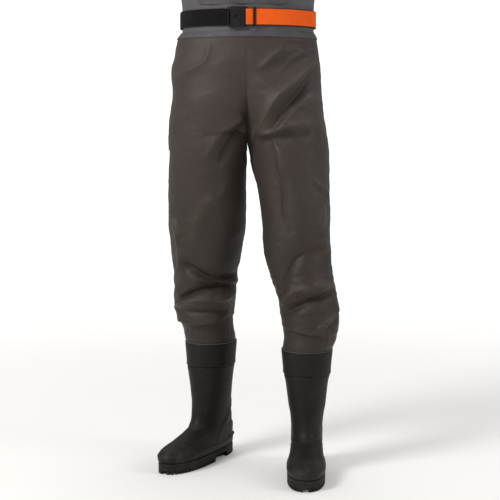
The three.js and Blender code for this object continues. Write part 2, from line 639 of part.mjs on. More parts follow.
const BELT_LOW = BELT_HEIGHT - BELT_WIDTH / 2;
const BELT_HIGH = BELT_HEIGHT + BELT_WIDTH / 2;
const BUCKLE_X = -46; // the socket's closed end, from the frame's middle line
const beltBuckleAngle = angleAt(BUCKLE_X + SOCKET_LENGTH, BELT_HEIGHT, -1);
const beltStart = torsoPoint(beltBuckleAngle, BELT_HEIGHT, BELT_STAND_OFF - 1.2);
const beltAhead = torsoPoint(beltBuckleAngle + 2, BELT_HEIGHT, BELT_STAND_OFF - 1.2);
const beltTurn = Math.atan2(beltAhead.y - beltStart.y, beltAhead.x - beltStart.x);

/** Places a buckle half at the belt's front: its +X runs along the belt and its +Z faces forwards. */
function onBelt(solid) {
  return solid
    .translate([-SOCKET_LENGTH, 0, 0])
    .rotate([90, 0, 0])
    .rotate([0, 0, THREE.MathUtils.radToDeg(beltTurn)])
    .translate([beltStart.x, beltStart.y, BELT_HEIGHT]);
}
piece("belt_buckle_socket", onBelt(buckleSocket(BELT_BUCKLE_WIDTH, BELT_WIDTH)), BUCKLE_PLASTIC);
piece("belt_buckle_plug", onBelt(bucklePlug(BELT_BUCKLE_WIDTH, BELT_WIDTH)), BUCKLE_PLASTIC);
piece("belt_buckle_prong_lower", onBelt(buckleProng(BELT_BUCKLE_WIDTH, -1)), BUCKLE_PLASTIC);
piece("belt_buckle_prong_upper", onBelt(buckleProng(BELT_BUCKLE_WIDTH, 1)), BUCKLE_PLASTIC);

const beltX = (local) => beltStart.x + (local - SOCKET_LENGTH) * Math.cos(beltTurn);
const BELT_PLUG_END = SOCKET_LENGTH + SEAM_GAP + PLUG_LENGTH + SLOT + BAR;
const socketBarAngle = angleAt(beltX(-SLOT - BAR - 2 * SEAM_GAP), BELT_HEIGHT, -1);
const plugBarAngle = angleAt(beltX(BELT_PLUG_END + 2 * SEAM_GAP), BELT_HEIGHT, -1);
const BELT_JOIN = -10; // where the belt's front and back lengths meet at the left hip, degrees
const beltPiece = (from, to, near, far) => torsoPatch(from, to, BELT_LOW, BELT_HIGH, near, far);
const MAIN = [BELT_STAND_OFF, BELT_STAND_OFF + WEBBING];
const TAIL = [MAIN[1] + SEAM_GAP, MAIN[1] + SEAM_GAP + WEBBING];
piece("belt_webbing_back", beltPiece(BELT_JOIN + 0.1, 360 + socketBarAngle, ...MAIN), BLACK_WEBBING);
piece("belt_webbing_left", beltPiece(plugBarAngle, BELT_JOIN, ...MAIN), BLACK_WEBBING);
piece("belt_webbing_tail", beltPiece(plugBarAngle, BELT_JOIN + 20, ...TAIL), ORANGE_WEBBING);

const KEEPER_LENGTH = 7;
const KEEPER_WALL = 1.2;
const keeperAngle = angleAt(beltX(BELT_PLUG_END + 12), BELT_HEIGHT, -1);

/** A plastic keeper round both layers of the belt. It slides along them. */
function beltKeeper() {
  const at = torsoPoint(keeperAngle, BELT_HEIGHT, 0);
  const ahead = torsoPoint(keeperAngle + 2, BELT_HEIGHT, 0);
  const turn = THREE.MathUtils.radToDeg(Math.atan2(ahead.y - at.y, ahead.x - at.x));
  const inside = [BELT_STAND_OFF - 0.8, TAIL[1] + 1.4];
  const high = BELT_WIDTH / 2 + 1;
  const [low, top] = [inside[0] - KEEPER_WALL, inside[1] + KEEPER_WALL];
  const outer = box(0, KEEPER_LENGTH, -high - 1.6, high + 1.6, low, top);
  const bore = box(-1, KEEPER_LENGTH + 1, -high, high, inside[0], inside[1]);
  return outer
    .subtract(bore)
    .rotate([90, 0, 0])
    .rotate([0, 0, turn])
    .translate([at.x, at.y, BELT_HEIGHT]);
}
piece("belt_keeper", beltKeeper(), BUCKLE_PLASTIC);

const LOOP_HALF = 7; // degrees of the body's outline
const LOOP_REACH = BELT_WIDTH / 2 + 14;
const LOOP_CLEAR = BELT_WIDTH / 2 + 1;
const LOOP_THICKNESS = 1.6;

/** A loop of fabric welded to the bib above and below the belt. */
function beltLoop(angle) {
  const far = TAIL[1] + 1;
  const patch = (spread, low, high, near, out) =>
    torsoPatch(angle - spread, angle + spread, BELT_HEIGHT + low, BELT_HEIGHT + high, near, out);
  const over = patch(LOOP_HALF, -LOOP_REACH, LOOP_REACH, SKIN_GAP, far + LOOP_THICKNESS);
  const room = patch(2 * LOOP_HALF, -LOOP_CLEAR, LOOP_CLEAR, -5, far);
  const pads = [-1, 1].map((s) => {
    const ends = [s * (LOOP_REACH + 3), s * (LOOP_CLEAR + 4)].sort((p, q) => p - q);
    return patch(2 * LOOP_HALF, ...ends, SKIN_GAP + LOOP_THICKNESS, far + 5);
  });
  return over.subtract(room).subtract(pads[0]).subtract(pads[1]);
}
for (const [name, angle] of [["back", 90], ["right", 165], ["left", 25]])
  piece(`belt_loop_${name}`, beltLoop(angle), BIB);

// ---------------------------------------------------------------- chest pocket with its zip

const POCKET_LOW = BELT_HIGH + 10;
const POCKET_HIGH = POCKET_LOW + POCKET_HEIGHT;
const POCKET_MIDDLE = -15;
const pocketAngle = (x) => angleAt(x, (POCKET_LOW + POCKET_HIGH) / 2, -1);
const pocketSide = [-1, 1].map((side) => pocketAngle(POCKET_MIDDLE + (side * POCKET_WIDTH) / 2));
const borderTurn = pocketAngle(POCKET_MIDDLE + POCKET_BORDER) - pocketAngle(POCKET_MIDDLE);
const PANEL = [SKIN_GAP, SKIN_GAP + FABRIC];
const BORDER = [PANEL[1] + SEAM_GAP, PANEL[1] + SEAM_GAP + 1];
piece("chest_pocket_panel", torsoPatch(...pocketSide, POCKET_LOW, POCKET_HIGH, ...PANEL), BIB);
piece(
  "chest_pocket_border",
  torsoPatch(...pocketSide, POCKET_LOW, POCKET_HIGH, ...BORDER).subtract(
    torsoPatch(
      pocketSide[0] + borderTurn,
      pocketSide[1] - borderTurn,
      POCKET_LOW + POCKET_BORDER,
      POCKET_HIGH - POCKET_BORDER,
      -5,
      20,
    ),
  ),
  TAPE_GREY,
);

const ZIP_WIDTH = 26;
const ZIP_Z = POCKET_HIGH - POCKET_BORDER - ZIP_WIDTH / 2 - 4;
const zipSide = [pocketSide[0] + 2.5 * borderTurn, pocketSide[1] - 2.5 * borderTurn];
const TEETH = 2.2;
const COIL_HALF = 2.6;
const ZIP_TAPE = 0.8;
const zipPatch = (half, near, far) =>
  torsoPatch(...zipSide, ZIP_Z - half, ZIP_Z + half, PANEL[1] + near, PANEL[1] + far);
const zipTape = zipPatch(ZIP_WIDTH / 2, SEAM_GAP, SEAM_GAP + ZIP_TAPE);
piece("pocket_zip_tape", zipTape.add(zipPatch(COIL_HALF, 1, TEETH)), BLACK_WEBBING);

const SLIDER_GAP = 0.5; // room for the slider on its way round the chest
const ZIP_SLIDER_LENGTH = 12;
const ZIP_SLIDER_HALF = 5;
const zipStart = zipSide[0] + 4;
const zipAt = torsoPoint(zipStart, ZIP_Z, PANEL[1] + TEETH + SLIDER_GAP);
const zipAhead = torsoPoint(zipStart + 2, ZIP_Z, PANEL[1] + TEETH + SLIDER_GAP);
const zipTurn = THREE.MathUtils.radToDeg(Math.atan2(zipAhead.y - zipAt.y, zipAhead.x - zipAt.x));
const onZip = (solid) =>
  solid
    .rotate([90, 0, 0])
    .rotate([0, 0, zipTurn])
    .translate([zipAt.x, zipAt.y, ZIP_Z]);
const PULL_HINGE = 3.8; // height of the pull's pin over the slider's face
const PIN_AT = 4; // the pin's place along the slider
const PIN_HALF = 0.6;
const PULL_LENGTH = 22;
const PULL_HALF = 1.9;
const SLIDER_PLATE = 1.6;

/** The zip's slider: a plate over the coil with a bail and a pin for the pull. */
function zipSlider() {
  const plate = box(0, ZIP_SLIDER_LENGTH, -ZIP_SLIDER_HALF, ZIP_SLIDER_HALF, 0, SLIDER_PLATE);
  const bail = (s) => box(PIN_AT - 1.5, PIN_AT + 1.5, s * 3 - 0.8, s * 3 + 0.8, 1.5, PULL_HINGE + 1.2);
  const pin = box(PIN_AT - PIN_HALF, PIN_AT + PIN_HALF, -3, 3, PULL_HINGE - PIN_HALF, PULL_HINGE + PIN_HALF);
  return plate.add(bail(-1)).add(bail(1)).add(pin);
}

/** The zip's pull: a flat tab with an eye round the slider's pin. */
function zipPull() {
  const wall = 1.5;
  const bore = PIN_HALF + SEAM_GAP;
  const bar = (from, to, half, thick) => box(from, to, -half, half, PULL_HINGE - thick, PULL_HINGE + thick);
  const tab = bar(PIN_AT - wall, PIN_AT + wall, PULL_HALF, wall);
  const eye = bar(PIN_AT - bore, PIN_AT + bore, 5, bore);
  const tongue = bar(PIN_AT + 1, PIN_AT + PULL_LENGTH, PULL_HALF, 0.8);
  return tab.add(tongue).subtract(eye);
}
piece("pocket_zip_slider", onZip(zipSlider()), ZIP_METAL);
piece("pocket_zip_pull", onZip(zipPull()), ZIP_METAL);

// ---------------------------------------------------------------- braces

const STRAP = 2;
const ANCHOR_LENGTH = 62;
const BRACE_BASE = BIB_FRONT_HEIGHT - 2; // the socket's bar, level with the bib's top edge
const BRACE_STAND_OFF = SKIN_GAP + TAPE + SEAM_GAP; // the buckles hang clear of the bib's top binding
const braceFace = (x, z) => torsoPoint(angleAt(x, z, -1), z).y;
const braceX = (side) => CENTRE_X + 1 + side * BRACE_SPACING;

/** A strap along a path: a flat section carried along it, its face away from the wearer. */
function strap(path, width, thickness, centre) {
  const curve = new THREE.CatmullRomCurve3(path, false, "centripetal");
  const steps = path.length * 2;
  const frames = Array.from({ length: steps + 1 }, (_, i) => {
    const at = curve.getPoint(i / steps);
    const along = curve.getTangent(i / steps);
    const away = at.clone().sub(vec(at.x, centre.y, centre.z));
    const across = away.clone().cross(along).normalize();
    return { at, across, out: along.clone().cross(across).normalize() };
  });
  const edge = (k, s, off) =>
    frames[k].at
      .clone()
      .addScaledVector(frames[k].across, (s * width) / 2)
      .addScaledVector(frames[k].out, off);
  const ks = frames.map((_, k) => k);
  return sheet([-1, 1], ks, (s, k) => edge(k, s, thickness / 2), (s, k) => edge(k, s, -thickness / 2));
}

const GLIDE_LENGTH = 22;
const GLIDE_HALF = 3.2;
const GLIDE_ROOM = 0.7; // above and below the strap in the glide
const PATCH_HALF = 48;
const PATCH_HEIGHT = 62;
const PATCH_TOP = BIB_BACK_HEIGHT - BINDING_WIDTH - 3;
const backY = torsoPoint(90, BIB_BACK_HEIGHT).y + SKIN_GAP + TAPE + SEAM_GAP + STRAP / 2;
const PLUG_TOP = BRACE_BASE + SLOT + BAR + SOCKET_LENGTH + SEAM_GAP + PLUG_LENGTH + SLOT + BAR;
for (const [name, side] of [["right", -1], ["left", 1]]) {
  const x = braceX(side);
  const buckleY = braceFace(x - side * (BRACE_BUCKLE_WIDTH / 2), BRACE_BASE) - BRACE_STAND_OFF;
  const onBrace = (solid) =>
    solid
      .rotate([90, 0, 0])
      .rotate([0, -90, 0])
      .translate([x, buckleY, BRACE_BASE + SLOT + BAR]);
  piece(`brace_socket_${name}`, onBrace(buckleSocket(BRACE_BUCKLE_WIDTH, BRACE_WIDTH)), BUCKLE_PLASTIC);
  piece(`brace_plug_${name}`, onBrace(bucklePlug(BRACE_BUCKLE_WIDTH, BRACE_WIDTH)), BUCKLE_PLASTIC);
  piece(`brace_prong_inner_${name}`, onBrace(buckleProng(BRACE_BUCKLE_WIDTH, side)), BUCKLE_PLASTIC);
  piece(`brace_prong_outer_${name}`, onBrace(buckleProng(BRACE_BUCKLE_WIDTH, -side)), BUCKLE_PLASTIC);

  const edges = [x - BRACE_WIDTH / 2, x + BRACE_WIDTH / 2];
  const anchorAngles = edges.map((edge) => angleAt(edge, BRACE_BASE - 30, -1));
  const anchorTop = BRACE_BASE - SEAM_GAP;
  const anchorOff = BRACE_STAND_OFF + SEAM_GAP;
  const anchor = torsoPatch(
    ...anchorAngles,
    anchorTop - ANCHOR_LENGTH,
    anchorTop,
    anchorOff,
    anchorOff + WEBBING,
  );
  piece(`brace_anchor_${name}`, anchor, BLACK_WEBBING);

  const start = vec(x, buckleY - (FRAME_LOW + FRAME_HIGH) / 2, PLUG_TOP + 0.8);
  const slope = vec(0, 0.42, 0.907);
  const path = [
    start,
    start.clone().addScaledVector(slope, 20),
    start.clone().addScaledVector(slope, 42),
    start.clone().addScaledVector(slope, 62),
    vec(x * 0.97, -62, SHOULDER_HEIGHT - 15),
    vec(x * 0.94, -10, SHOULDER_HEIGHT),
    vec(x * 0.88, 48, SHOULDER_HEIGHT - 12),
    vec(x * 0.76, 96, SHOULDER_HEIGHT - 58),
    vec(x * 0.52, backY - 6, SHOULDER_HEIGHT - 120),
    vec(x * 0.31, backY, BIB_BACK_HEIGHT + 40),
    vec(x * 0.3, backY, BIB_BACK_HEIGHT + 10),
    vec(x * 0.3, backY, PATCH_TOP + SEAM_GAP + 0.3),
  ];
  const shoulderCentre = vec(0, 5, SHOULDER_HEIGHT - 130);
  piece(`brace_strap_${name}`, strap(path, BRACE_WIDTH, STRAP, shoulderCentre), BLACK_WEBBING);

  const glide = start.clone().addScaledVector(slope, 14);
  const room = BRACE_WIDTH / 2 + SLOT_ROOM;
  const passageHalf = STRAP / 2 + GLIDE_ROOM;
  const tilt = THREE.MathUtils.radToDeg(Math.atan2(slope.y, slope.z));
  const glideHalf = BRACE_BUCKLE_WIDTH / 2;
  const plate = box(-glideHalf, glideHalf, -GLIDE_HALF, GLIDE_HALF, 0, GLIDE_LENGTH);
  const passage = box(-room, room, -passageHalf, passageHalf, -1, GLIDE_LENGTH + 1);
  const openings = box(-room, room, -9, -1, 3, 9).add(box(-room, room, -9, -1, 13, 19));
  const glider = plate
    .subtract(passage)
    .subtract(openings)
    .rotate([-tilt, 0, 0])
    .translate([glide.x, glide.y, glide.z]);
  piece(`brace_glide_${name}`, glider, BUCKLE_PLASTIC);
}

const patchAngles = [PATCH_HALF, -PATCH_HALF].map((x) => angleAt(CENTRE_X + x, PATCH_TOP, 1));
piece(
  "brace_back_patch",
  torsoPatch(...patchAngles, PATCH_TOP - PATCH_HEIGHT, PATCH_TOP, SKIN_GAP, SKIN_GAP + WEBBING + TAPE),
  RUBBER,
);

// ---------------------------------------------------------------- side seam tapes

/** A tape welded over the leg's outside seam. */
function seamTape(leg, low, high) {
  const middle = leg.side > 0 ? 0 : 180;
  const half = 7;
  const surface = (off) => (u, v) => legPoint(leg, u, v, off);
  const us = [middle - half, middle, middle + half];
  return sheet(us, legLevels(leg, low, high), surface(SKIN_GAP + TAPE), surface(SKIN_GAP));
}
for (const [side, leg] of Object.entries(LEGS)) {
  const inset = share(3);
  const top = 1 - share(TAPE_WIDTH / 2 + 3);
  piece(`outseam_tape_seat_${side}`, seamTape(leg, THIGH_ABOVE + inset, top), TAPE_GREY);
  piece(`outseam_tape_thigh_${side}`, seamTape(leg, KNEE_ABOVE + inset, THIGH_ABOVE - inset), TAPE_GREY);
}

// ---------------------------------------------------------------- the frame: the box's middle, on the floor

const overall = new THREE.Box3().setFromObject(group);
const centre = overall.getCenter(vec(0, 0, 0));
group.position.set(-centre.x, -centre.y, -overall.min.z);

export default group;
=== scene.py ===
import logging
import math
from dataclasses import dataclass, field
from enum import Enum
from typing import Callable, Sequence

import bmesh
import bpy
import numpy as np
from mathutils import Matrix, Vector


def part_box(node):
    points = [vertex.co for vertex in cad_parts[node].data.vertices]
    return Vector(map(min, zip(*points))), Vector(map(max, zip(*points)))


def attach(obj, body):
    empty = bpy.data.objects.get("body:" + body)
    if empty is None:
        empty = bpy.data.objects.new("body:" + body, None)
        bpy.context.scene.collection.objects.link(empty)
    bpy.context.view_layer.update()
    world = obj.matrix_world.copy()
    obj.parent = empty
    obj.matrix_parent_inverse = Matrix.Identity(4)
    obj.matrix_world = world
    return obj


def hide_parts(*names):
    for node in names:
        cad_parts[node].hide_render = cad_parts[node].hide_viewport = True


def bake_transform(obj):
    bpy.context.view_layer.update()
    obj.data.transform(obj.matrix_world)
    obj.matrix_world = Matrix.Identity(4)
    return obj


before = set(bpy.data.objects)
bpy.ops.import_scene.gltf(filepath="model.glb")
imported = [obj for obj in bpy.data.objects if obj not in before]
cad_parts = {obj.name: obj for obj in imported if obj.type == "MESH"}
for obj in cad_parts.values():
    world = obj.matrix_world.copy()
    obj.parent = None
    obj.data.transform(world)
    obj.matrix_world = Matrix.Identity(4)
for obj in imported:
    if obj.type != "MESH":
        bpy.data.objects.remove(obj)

Array = np.ndarray
Color = tuple[float, float, float]
LOG = logging.getLogger("waders")
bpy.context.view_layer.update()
MM = 0.001
TURN = 2 * math.pi

# ------------------------------------------------------------------ arrays


def unit(vectors: Array) -> Array:
    """Vectors divided by their lengths."""
    return vectors / np.maximum(np.linalg.norm(vectors, axis=-1, keepdims=True), 1e-12)


def ease(value: Array | float, low: float = 0.0, high: float = 1.0) -> Array:
    """A smooth step: 3t^2 - 2t^3 of the place between low and high."""
    t = np.clip((np.asarray(value, float) - low) / (high - low), 0, 1)
    return t * t * (3 - 2 * t)


def bump(value: Array, width: float) -> Array:
    """A bell: exp(-(value / width)^2)."""
    return np.exp(-((value / width) ** 2))


def through(table: Array, at: Array) -> Array:
    """Values of a table of stations, by a cubic that never overshoots them.

    Args:
        table: rows of a place and its values, in rising order of place.
        at: the places wanted.

    Returns:
        One row of values for each place: Hermite cubics whose slopes are the harmonic means of the
        neighbouring chords' slopes.
    """
    x, y = table[:, 0], table[:, 1:]
    chord = np.diff(y, axis=0) / np.diff(x)[:, None]
    same = chord[:-1] * chord[1:] > 0
    mean = np.where(same, 2 * chord[:-1] * chord[1:] / np.where(same, chord[:-1] + chord[1:], 1), 0)
    slope = np.vstack([chord[:1], mean, chord[-1:]])
    at = np.clip(np.atleast_1d(np.asarray(at, float)), x[0], x[-1])
    k = np.clip(np.searchsorted(x, at, side="right") - 1, 0, len(x) - 2)
    h = (x[k + 1] - x[k])[:, None]
    s = ((at - x[k])[:, None]) / h
    return (
        y[k] * (1 + 2 * s) * (1 - s) ** 2
        + slope[k] * h * s * (1 - s) ** 2
        + y[k + 1] * s * s * (3 - 2 * s)
        + slope[k + 1] * h * s * s * (s - 1)
    )


def grid_normals(points: Array) -> Array:
    """Unit normals of a grid of rows by columns, from the cross product of its two directions."""
    across = np.gradient(points, axis=1)
    up = np.gradient(points, axis=0)
    return unit(np.cross(across, up))


def frame_point(millimetres: Array) -> Array:
    """Points of the wearer's stance, in millimetres, brought into the frame, in metres."""
    return np.asarray(millimetres, float) * MM + SHIFT


def middle(node: str) -> Array:
    """The middle of a CAD node's box."""
    low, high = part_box(node)
    return (np.array(low) + np.array(high)) / 2


WAIST_MIDDLE = (-7.0, -10.0)  # of the waist's outline in the wearer's stance
SHIFT = middle("waist_seam_tape") - np.array([WAIST_MIDDLE[0] * MM, WAIST_MIDDLE[1] * MM, 0])
SHIFT[2] = 0.0

# ------------------------------------------------------------------ meshes


class Side(Enum):
    """A side of the wearer."""

    RIGHT = -1
    LEFT = 1

    @property
    def word(self) -> str:
        """The side's name as the nodes spell it."""
        return self.name.lower()


@dataclass
class Patchwork:
    """Grids of points gathered for one piece, in metres, which become one welded mesh."""

    points: list[Array] = field(default_factory=list)
    faces: list[Array] = field(default_factory=list)
    uvs: list[Array] = field(default_factory=list)
    relief: list[Array] = field(default_factory=list)
    count: int = 0

    def grid(
        self, points: Array, wrapped: bool = False, flipped: bool = False, uv: Array | None = None,
        relief: Array | None = None
    ) -> None:
        """Adds a grid whose quads face the cross product of its columns' and rows' directions.

        Args:
            points: rows by columns of points.
            wrapped: whether the last column joins the first.
            flipped: whether the quads face the other way.
            uv: rows by columns (one more if wrapped) of places on the surface, in metres.
            relief: rows by columns of how far the surface stands out, for wear and dirt.
        """
        rows, cols = points.shape[:2]
        if uv is None:
            uv = surface_uv(points, wrapped)
        jj, ii = np.meshgrid(np.arange(rows - 1), np.arange(cols if wrapped else cols - 1), indexing="ij")
        nxt = (ii + 1) % cols
        faces = np.stack([jj * cols + ii, jj * cols + nxt, (jj + 1) * cols + nxt, (jj + 1) * cols + ii], -1)
        corners = np.stack([uv[jj, ii], uv[jj, ii + 1], uv[jj + 1, ii + 1], uv[jj + 1, ii]], 2)
        faces, corners = faces.reshape(-1, 4), corners.reshape(-1, 4, 2)
        if flipped:
            faces, corners = faces[:, ::-1], corners[:, ::-1]
        self.points.append(points.reshape(-1, 3))
        self.faces.append(faces + self.count)
        self.uvs.append(corners)
        self.relief.append(np.zeros(rows * cols) if relief is None else relief.reshape(-1))
        self.count += rows * cols

    def shell(
        self,
        outer: Array,
        inner: Array,
        wrapped: bool = False,
        uv: Array | None = None,
        relief: Array | None = None,
        side_rows: slice = slice(None),
    ) -> None:
        """Adds a wall between two grids, with its rims.

        Args:
            outer: the outer grid, whose columns run anticlockwise seen from its top row.
            inner: the inner grid of the same shape.
            wrapped: whether the last column joins the first.
            uv: the outer grid's places on the surface.
            relief: how far each outer point stands out.
            side_rows: the rows that have an open side edge, where not wrapped.
        """
        self.grid(outer, wrapped, uv=uv, relief=relief)
        self.grid(inner, wrapped, flipped=True, uv=uv, relief=relief)
        self.grid(np.stack([inner[0], outer[0]]), wrapped)
        self.grid(np.stack([outer[-1], inner[-1]]), wrapped)
        if not wrapped:
            o, i = outer[side_rows], inner[side_rows]
            self.grid(np.stack([i[:, 0], o[:, 0]], 1))
            self.grid(np.stack([o[:, -1], i[:, -1]], 1))

    def object(self, name: str, sharp: float = 40.0, weld: float = 2e-6) -> bpy.types.Object:
        """The gathered grids as one smooth-shaded object, welded and facing outwards.

        Args:
            name: the piece's name.
            sharp: the angle in degrees over which an edge is shaded sharp.
            weld: the distance within which points become one.

        Returns:
            The object, linked to the scene.
        """
        points, faces = np.vstack(self.points), np.vstack(self.faces)
        uvs, relief = np.vstack(self.uvs), np.concatenate(self.relief)
        corner = points[faces]
        volume = sum(
            np.einsum("ij,ij->", corner[:, 0], np.cross(corner[:, a], corner[:, b])) for a,
            b in ((1, 2), (2, 3))
        )
        if volume < 0:
            faces, uvs = faces[:, ::-1], uvs[:, ::-1]
        mesh = bpy.data.meshes.new(name)
        mesh.vertices.add(len(points))
        mesh.vertices.foreach_set("co", points.astype(np.float32).ravel())
        mesh.loops.add(faces.size)
        mesh.loops.foreach_set("vertex_index", faces.astype(np.int32).ravel())
        mesh.polygons.add(len(faces))
        mesh.polygons.foreach_set("loop_start", np.arange(0, faces.size, 4, dtype=np.int32))
        mesh.update(calc_edges=True)
        mesh.uv_layers.new(name="UVMap").data.foreach_set("uv", uvs.astype(np.float32).ravel())
        mesh.attributes.new("relief", "FLOAT", "POINT").data.foreach_set("value", relief.astype(np.float32))
        body = bmesh.new()
        body.from_mesh(mesh)
        bmesh.ops.remove_doubles(body, verts=body.verts, dist=weld)
        bmesh.ops.dissolve_degenerate(body, edges=body.edges, dist=1e-7)
        fins = {face for edge in body.edges if edge.is_boundary for face in edge.link_faces}
        bmesh.ops.delete(body, geom=list(fins), context="FACES")
        body.to_mesh(mesh)
        body.free()
        mesh.shade_smooth()
        mesh.set_sharp_from_angle(angle=math.radians(sharp))
        made = bpy.data.objects.new(name, mesh)
        bpy.context.scene.collection.objects.link(made)
        return made


def surface_uv(points: Array, wrapped: bool) -> Array:
    """Places on a grid's surface in metres: u is the length along rows, v that up the middle column."""
    ring = np.concatenate([points, points[:, :1]], 1) if wrapped else points
    step = np.linalg.norm(np.diff(ring, axis=1), axis=-1).mean(0)
    rise = np.linalg.norm(np.diff(points[:, points.shape[1] // 2], axis=0), axis=-1)
    u = np.concatenate([[0], np.cumsum(step)])
    v = np.concatenate([[0], np.cumsum(rise)])
    return np.stack(np.meshgrid(u, v), -1)


def capped(rows: Array) -> Array:
    """A closed profile's grid with each end drawn together to its middle, so that the tube is shut."""
    first = np.repeat(rows[:1].mean(1, keepdims=True), rows.shape[1], 1)
    last = np.repeat(rows[-1:].mean(1, keepdims=True), rows.shape[1], 1)
    return np.concatenate([first, rows, last])


def rounded_bar(width: float, thickness: float, radius: float, steps: int = 3) -> Array:
    """A rectangle's outline with rounded corners, anticlockwise, about the origin.

    Args:
        width: along the first axis.
        thickness: along the second.
        radius: of the corners.
        steps: quads round each corner.

    Returns:
        Points (n, 2): each corner's centre plus the radius at a quarter turn of angles.
    """
    radius = min(radius, width / 2 - 1e-6, thickness / 2 - 1e-6)
    angle = np.linspace(0, math.pi / 2, steps + 1)
    out = []
    for quarter, (sx, sy) in enumerate(((1, 1), (-1, 1), (-1, -1), (1, -1))):
        a = angle + quarter * math.pi / 2
        out.append(
            np.stack(
                [
                    sx * (width / 2 - radius) + radius * np.cos(a),
                    sy * (thickness / 2 - radius) + radius * np.sin(a)
                ], -1
            )
        )
    outline = np.concatenate(out)
    return denser(outline, 5)


def denser(outline: Array, parts: int) -> Array:
    """A closed outline whose edges longer than a third of its size are cut in equal parts."""
    ahead = np.roll(outline, -1, 0)
    length = np.linalg.norm(ahead - outline, axis=1)
    limit = length.max() / 3
    bits = [
        a + (b - a) * np.arange(parts if span > limit else 1)[:, None] / (parts if span > limit else 1)
        for a, b, span in zip(outline, ahead, length)
    ]
    return np.concatenate(bits)


def sweep(path: Array, across: Array, out: Array, profile: Array, closed: bool = False) -> Array:
    """A profile carried along a path: path + across * p + out * q at each station.

    Args:
        path: stations (n, 3).
        across: the profile's first direction at each station.
        out: its second direction.
        profile: outline (m, 2), or one for each station (n, m, 2).
        closed: whether the path closes on itself, when the first station is repeated.

    Returns:
        A grid of n by m points.
    """
    shape = np.broadcast_to(profile, (len(path), *profile.shape[-2:]))
    rows = path[:, None] + across[:, None] * shape[..., :1] + out[:, None] * shape[..., 1:]
    return np.concatenate([rows, rows[:1]]) if closed else rows


def catmull(points: Array, per: int) -> Array:
    """A centripetal Catmull-Rom curve through points, with a number of stations for each span.

    Each span is Neville's blend of three chords, whose knots are the square roots of the chords' lengths.
    """
    ends = np.vstack([2 * points[0] - points[1], points, 2 * points[-1] - points[-2]])
    out = []
    for k in range(1, len(ends) - 2):
        p = ends[k - 1 : k + 3]
        t = np.concatenate([[0], np.cumsum(np.sqrt(np.linalg.norm(np.diff(p, axis=0), axis=1)))])
        s = np.linspace(t[1], t[2], per, endpoint=False)[:, None]
        a = [
            (t[i + 1] - s) / (t[i + 1] - t[i]) * p[i] + (s - t[i]) / (
                t[i + 1] - t[i]
            ) * p[i + 1] for i in range(3)
        ]
        b = [
            (t[i + 2] - s) / (t[i + 2] - t[i]) * a[i] + (s - t[i]) / (
                t[i + 2] - t[i]
            ) * a[i + 1] for i in range(2)
        ]
        out.append((t[2] - s) / (t[2] - t[1]) * b[0] + (s - t[1]) / (t[2] - t[1]) * b[1])
    return np.vstack([*out, points[-1:]])


# ------------------------------------------------------------------ shader groups


@dataclass
class Graph:
    """A node tree being filled, with short ways to add and join nodes."""

    tree: bpy.types.NodeTree

    def add(self, kind: str, **values: object) -> bpy.types.Node:
        """A node of a kind, with properties and input values set by name.

        Args:
            kind: the node's type name without its ShaderNode prefix.
            values: properties of the node, or its inputs by name with spaces as underscores.

        Returns:
            The node.
        """
        node = self.tree.nodes.new("ShaderNode" + kind)
        for key, value in values.items():
            if hasattr(node, key):
                setattr(node, key, value)
            else:
                self.feed(node, key.replace("_", " "), value)
        return node

    def feed(self, node: bpy.types.Node, name: str | int, value: object) -> None:
        """Sets an input, or links it if the value is a socket."""
        socket = node.inputs[name]
        if isinstance(value, bpy.types.NodeSocket):
            self.tree.links.new(value, socket)
        else:
            socket.default_value = value

    def math(self, operation: str, a: object, b: object = 0.0, clamp: bool = False) -> bpy.types.NodeSocket:
        """The result of a Math node."""
        node = self.add("Math", operation=operation, use_clamp=clamp)
        self.feed(node, 0, a)
        self.feed(node, 1, b)
        return node.outputs[0]

    def between(
        self, value: object, low: float, high: float, a: float = 0.0, b: float = 1.0
    ) -> bpy.types.NodeSocket:
        """A value's range low..high mapped smoothly onto a..b."""
        node = self.add("MapRange", interpolation_type="SMOOTHSTEP")
        for name, given in (
            ("Value", value), ("From Min", low), ("From Max", high), ("To Min", a), ("To Max", b)
        ):
            self.feed(node, name, given)
        return node.outputs[0]

    def mix(self, share: object, a: object, b: object, mode: str = "MIX") -> bpy.types.NodeSocket:
        """Two colours mixed."""
        node = self.add("Mix", data_type="RGBA", blend_type=mode)
        for index, given in ((0, share), (6, a), (7, b)):
            if isinstance(given, tuple) and len(given) == 3:
                given = (*given, 1.0)
            self.feed(node, index, given)
        return node.outputs[2]


def new_group(name: str, inputs: dict[str, float | Color], outputs: dict[str, str]) -> tuple[
    Graph, dict, dict
]:
    """A shader node group with named sockets.

    Args:
        name: the group's name.
        inputs: each input's default, a number or a colour.
        outputs: each output's type, Float or Color.

    Returns:
        The group's graph, its input sockets by name, and its output node's inputs by name.
    """
    tree = bpy.data.node_groups.new(name, "ShaderNodeTree")
    for key, value in inputs.items():
        kind = "NodeSocketColor" if isinstance(value, tuple) else "NodeSocketFloat"
        socket = tree.interface.new_socket(name=key, in_out="INPUT", socket_type=kind)
        socket.default_value = (*value, 1.0) if isinstance(value, tuple) else value
    for key, kind in outputs.items():
        tree.interface.new_socket(name=key, in_out="OUTPUT", socket_type="NodeSocket" + kind)
    graph = Graph(tree)
    entry, leave = tree.nodes.new("NodeGroupInput"), tree.nodes.new("NodeGroupOutput")
    return graph, {k: entry.outputs[k] for k in inputs}, {k: leave.inputs[k] for k in outputs}


